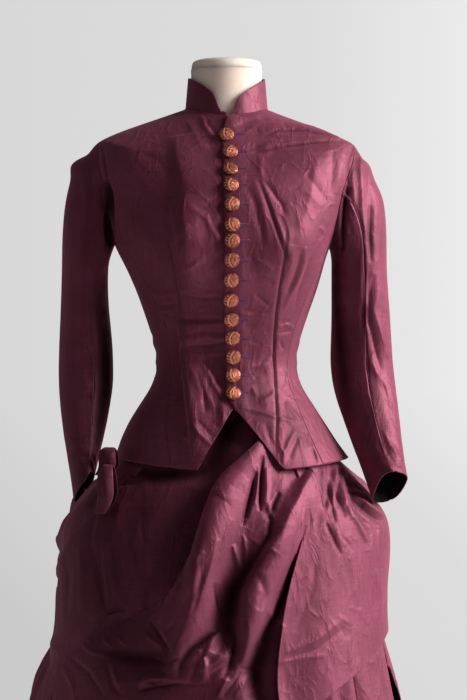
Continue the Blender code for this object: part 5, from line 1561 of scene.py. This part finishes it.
@dataclass(frozen=True)
class Skirts:
    """The draped overskirt above, and the underskirt with its pleated flounce."""
    bows: tuple[Bow, ...] = (
        Bow((0.40, 0.35, 0.46), 12.5, 15.0, 35.0), Bow((0.46, 0.95, 0.92), 13.5, 12.0, 20.0))
    loop_turn: float = math.radians(62)
    loop_steps: tuple[int, int] = (96, 25)        # round each bow, and along it
    loop_painted_shade: float = 0.45                       # painted shade on the whole loop, as it hangs in the shade of the basque
    over: tuple[Cloth, ...] = (
        Cloth("apron", (0.50, 0.48), 0.172, Held.DRAPED, ("underskirt_front",), 4, APRON_FOLDS,
              Crumple(0.9, 22.0, 90.0, 3.0, 32.0), (Cut((48, 908), (-33, 814)),)),
        Cloth("side_panel", (0.32, 0.48), 0.116, Held.DRAPED, ("underskirt_right",), 3,
              SIDE_PANEL_FOLDS, Crumple(1.0, 20.0, 90.0, 5.0, 4.0)),
        Cloth("big_panel", (0.30, 0.42), 0.091, Held.DRAPED, ("underskirt_left",), 4,
              BIG_PANEL_FOLDS + HIP_FOLDS, Crumple(0.6, 30.0, 120.0, 7.0, 8.0)),
        Cloth("back_puff", (0.95, 0.60), 0.40, held=Held.GATHERED, folds=PUFF_FOLDS + HIP_FOLDS,
              crumple=Crumple(2.2, 30.0, 80.0, 9.0), rests_on=("underskirt_back",)),
        Cloth("tail", (1.05, 0.46), 0.40, held=Held.DRAPED, folds=TAIL_FOLDS,
              crumple=Crumple(1.8, 28.0, 110.0, 11.0), rests_on=("flounce_back",)),
    )
    under: tuple[Cloth, ...] = tuple(
        Cloth("underskirt_" + side, flat, area, Held.DRAPED, level=1)
        for side, flat, area in (("front", (0.32, 0.38), 0.095), ("left", (0.33, 0.38), 0.107),
                                 ("back", (0.36, 0.42), 0.128), ("right", (0.33, 0.38), 0.107)))
    flounce: tuple[Cloth, ...] = tuple(
        Cloth("flounce_" + side, (width, 0.63), None, Held.GATHERED, ("underskirt_" + side,), 2,
              crumple=Crumple(0.8, 24.0, 120.0, 15.0))
        for side, width in (("front", 0.55), ("left", 0.54), ("back", 0.60), ("right", 0.54)))

    def build(self) -> None:
        """Makes the underskirt, its flounce and the drapery."""
        for piece in self.under + self.flounce + self.over:
            piece.build()
        self.loop()

    def loop(self) -> None:
        """Makes the gathered loop at the wearer's right hip: a hanging bow end and a small one."""
        low, high = (np.array(corner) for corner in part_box("side_loop"))
        axis = np.array([math.sin(self.loop_turn), -math.cos(self.loop_turn), 0.0])
        level = np.array([axis[1], -axis[0], 0.0])
        made = bmesh.new()
        round_it, along_it = self.loop_steps
        for bow in self.bows:
            turn, along = np.meshgrid(np.linspace(0.0, math.tau, round_it + 1)[:-1],
                                      np.linspace(-1.0, 1.0, along_it), indexing="ij")
            up = np.sin(turn)
            pinch = np.clip(-up, 0.0, 1.0) ** 2              # it is drawn together below
            arch = np.sqrt(1.0 - 0.75 * np.clip(up, 0.0, 1.0) ** 4)
            puff = 1.0 - 0.55 * np.abs(along) ** 3
            pleat = 1.0 + 0.16 * np.sin(4.0 * along + 2.0 * up) * (0.4 + pinch)
            wide = bow.wide * along * arch * (1.0 - 0.4 * pinch) - bow.wide * pinch
            thick = (bow.deep * np.cos(turn) * puff * pleat * (1.0 - 0.5 * pinch)
                     + 1.5 * np.sin(3.0 * turn))
            middle = low + (high - low) * np.array(bow.share)
            place = (middle + axis * wide[..., None] * MM + level * thick[..., None] * MM
                     + np.array([0.0, 0.0, MM]) * (bow.tall * up)[..., None])
            verts = [made.verts.new(p) for p in place.reshape(-1, 3)]
            rows, columns = turn.shape
            for r in range(rows):
                for c in range(columns - 1):
                    n = (r + 1) % rows
                    made.faces.new([verts[r * columns + c], verts[n * columns + c],
                                    verts[n * columns + c + 1], verts[r * columns + c + 1]])
        mesh = bpy.data.meshes.new("side_loop_silk")
        made.to_mesh(mesh)
        made.free()
        # The whole loop gets the same painted shade.
        painted_shade = mesh.attributes.new("painted_shade", "FLOAT", "POINT")
        painted_shade.data.foreach_set("value", np.full(len(mesh.vertices), self.loop_painted_shade))
        obj = show("side_loop_silk", mesh, SILK, LINING)
        thick = obj.modifiers.new("thickness", "SOLIDIFY")
        thick.thickness, thick.offset = SHELL, 0.0
        evaluated(obj)
        hand_over(obj, "side_loop")


@dataclass(frozen=True)
class DressForm:
    """The padded torso with its neck cap, on an iron pole and a round base."""
    finishes: tuple[tuple[str, bpy.types.Material, str], ...] = (
        ("form_torso", JERSEY, "form_jersey"), ("form_neck_cap", NECK_PAINT, "painted_wood"),
        ("stand_pole", IRON, "black_iron"), ("stand_base", IRON, "black_iron"))
    corner: float = math.radians(38)                      # a true edge turns by more than this
    even: float = math.radians(1.0)                       # facets this near to level are one
    cap_squeeze: tuple[float, float] = (0.981, 0.974)     # to the shape of the neck under it
    cap_back: float = 0.0005       # the neck's middle lies this far in front of the cap's
    cap_sunk: float = 0.0015       # the cap's foot is pressed this far into the padding
    cap_foot: float = 1.463
    level: int = 2

    def build(self) -> None:
        """Rounds each node's facets and keeps its true edges."""
        for node, finish, slot in self.finishes:
            smooth = bmesh.new()
            smooth.from_mesh(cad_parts[node].data)
            bmesh.ops.remove_doubles(smooth, verts=smooth.verts, dist=WELD)
            bmesh.ops.dissolve_limit(smooth, angle_limit=self.even, verts=smooth.verts,
                                     edges=smooth.edges)
            if node == "form_neck_cap":
                bmesh.ops.scale(smooth, vec=(*self.cap_squeeze, 1.0), verts=smooth.verts)
                for v in smooth.verts:
                    v.co.y -= self.cap_back
                    v.co.z -= self.cap_sunk if v.co.z < self.cap_foot else 0.0
            creases = smooth.edges.layers.float.new("crease_edge")
            for edge in smooth.edges:
                edge.smooth = edge.calc_face_angle(0.0) <= self.corner
                edge[creases] = 0.0 if edge.smooth else 1.0
            mesh = bpy.data.meshes.new(node + "_dressed")
            smooth.to_mesh(mesh)
            smooth.free()
            obj = show(node + "_dressed", mesh, finish)
            rounded = obj.modifiers.new("round", "SUBSURF")
            rounded.levels = rounded.render_levels = self.level
            evaluated(obj)
            hand_over(obj, node)


# ---------------------------------------------------------------- studio

@dataclass(frozen=True)
class Lamp:
    """A soft rectangular light, in metres and watts."""
    name: str
    place: tuple[float, float, float]
    aim: tuple[float, float, float]
    size: tuple[float, float]
    watts: float
    colour: str


@dataclass(frozen=True)
class Studio:
    """A round pale floor in front of pale air, lit by one window to the viewer's right."""
    floor: float = 2.6             # its radius, in metres
    sides: int = 96
    lamps: tuple[Lamp, ...] = (
        Lamp("window", (2.9, -0.87, 2.3), (0.0, 0.0, 1.0), (1.3, 2.2), 198.0, "#FFFDFA"),
        Lamp("fill", (-2.4, -2.4, 1.6), (0.0, 0.0, 1.0), (1.5, 2.0), 6.0, "#F4F7FF"),
    )
    # The air's tones are painted light: lighter towards the window.
    air: tuple[tuple[float, str], ...] = (        # its tones, from the left to the right
        (0.36, "#CACACA"), (0.47, "#D9D9D9"), (0.60, "#DCDCDC"), (0.70, "#EEEEEE"))
    painted_shade_slant: float = -0.02            # below this slant of view shade is painted on the air
    slope: float = 0.9             # and how fast it does
    glow: float = 0.16             # how much of the air's light falls on the dress

    def sky(self) -> bpy.types.World:
        """Makes the pale air, with light and shade painted in its tones: lighter to the right,
        where the window is, and darker low down.

        Returns:
            The world.
        """
        made = bpy.data.worlds.new("studio")
        made.use_nodes = True
        tree = made.node_tree
        back = tree.nodes["Background"]
        way = add_node(tree, "ShaderNodeTexCoord").outputs["Generated"]
        parts = add_node(tree, "ShaderNodeSeparateXYZ", {0: way}).outputs
        fall = add_node(tree, "ShaderNodeMath", {0: parts[2], 1: self.painted_shade_slant}, operation="MINIMUM")
        grow = add_node(tree, "ShaderNodeMath", {0: fall.outputs[0], 1: self.slope, 2: parts[0]},
                        operation="MULTIPLY_ADD")
        place = add_node(tree, "ShaderNodeMath", {0: grow.outputs[0], 1: 0.5}, operation="ADD")
        tone = add_node(tree, "ShaderNodeValToRGB", {0: place.outputs[0]}, self.air)
        seen = add_node(tree, "ShaderNodeLightPath").outputs["Is Camera Ray"]
        strength = add_node(tree, "ShaderNodeMapRange", {
            "Value": seen, "To Min": self.glow, "To Max": 1.0})
        tree.links.new(tone.outputs[0], back.inputs["Color"])
        tree.links.new(strength.outputs[0], back.inputs["Strength"])
        return made

    def build(self) -> None:
        """Makes the floor, the lamps and the camera."""
        scene = bpy.context.scene
        turns = [math.tau * i / self.sides for i in range(self.sides)]
        mesh = bpy.data.meshes.new("studio_floor")
        mesh.from_pydata([(self.floor * math.cos(t), self.floor * math.sin(t), 0.0) for t in turns],
                         [], [tuple(range(self.sides))])
        show("studio_floor", mesh, FLOOR_PAINT)
        for lamp in self.lamps:
            light = bpy.data.lights.new(lamp.name, "AREA")
            light.shape = "RECTANGLE"
            light.size, light.size_y = lamp.size
            light.energy = lamp.watts
            light.color = linear(lamp.colour)[:3]
            self.set_up(lamp.name, light, lamp.place, Vector(lamp.aim) - Vector(lamp.place))
        scene.world = self.sky()
        camera = bpy.data.cameras.new("eye")
        camera.lens = camera.sensor_width * EYE.distance / EYE.tall
        scene.camera = self.set_up("eye", camera, EYE.place(), Vector(EYE.axes()[1]))
        scene.view_settings.view_transform = "Standard"

    @staticmethod
    def set_up(name: str, data: bpy.types.ID, place: Array | tuple[float, float, float],
               way: Vector) -> bpy.types.Object:
        """Puts a lamp or a camera in its place, looking one way.

        Args:
            name: its name.
            data: the lamp or the camera.
            place: where it stands, in metres.
            way: the direction it looks in.

        Returns:
            Its object.
        """
        obj = bpy.data.objects.new(name, data)
        bpy.context.scene.collection.objects.link(obj)
        obj.location = place
        obj.rotation_euler = way.to_track_quat("-Z", "Y").to_euler()
        return obj


def main() -> None:
    """Builds the dress, its form and the studio, in order."""
    logging.basicConfig(level=logging.INFO, format="%(name)s %(message)s")
    for assembly in (Bodice(), Sleeves(), Skirts(), Buttons(), DressForm(), Studio()):
        log.info("building %s", type(assembly).__name__)
        assembly.build()


if __name__ == "__main__":
    main()
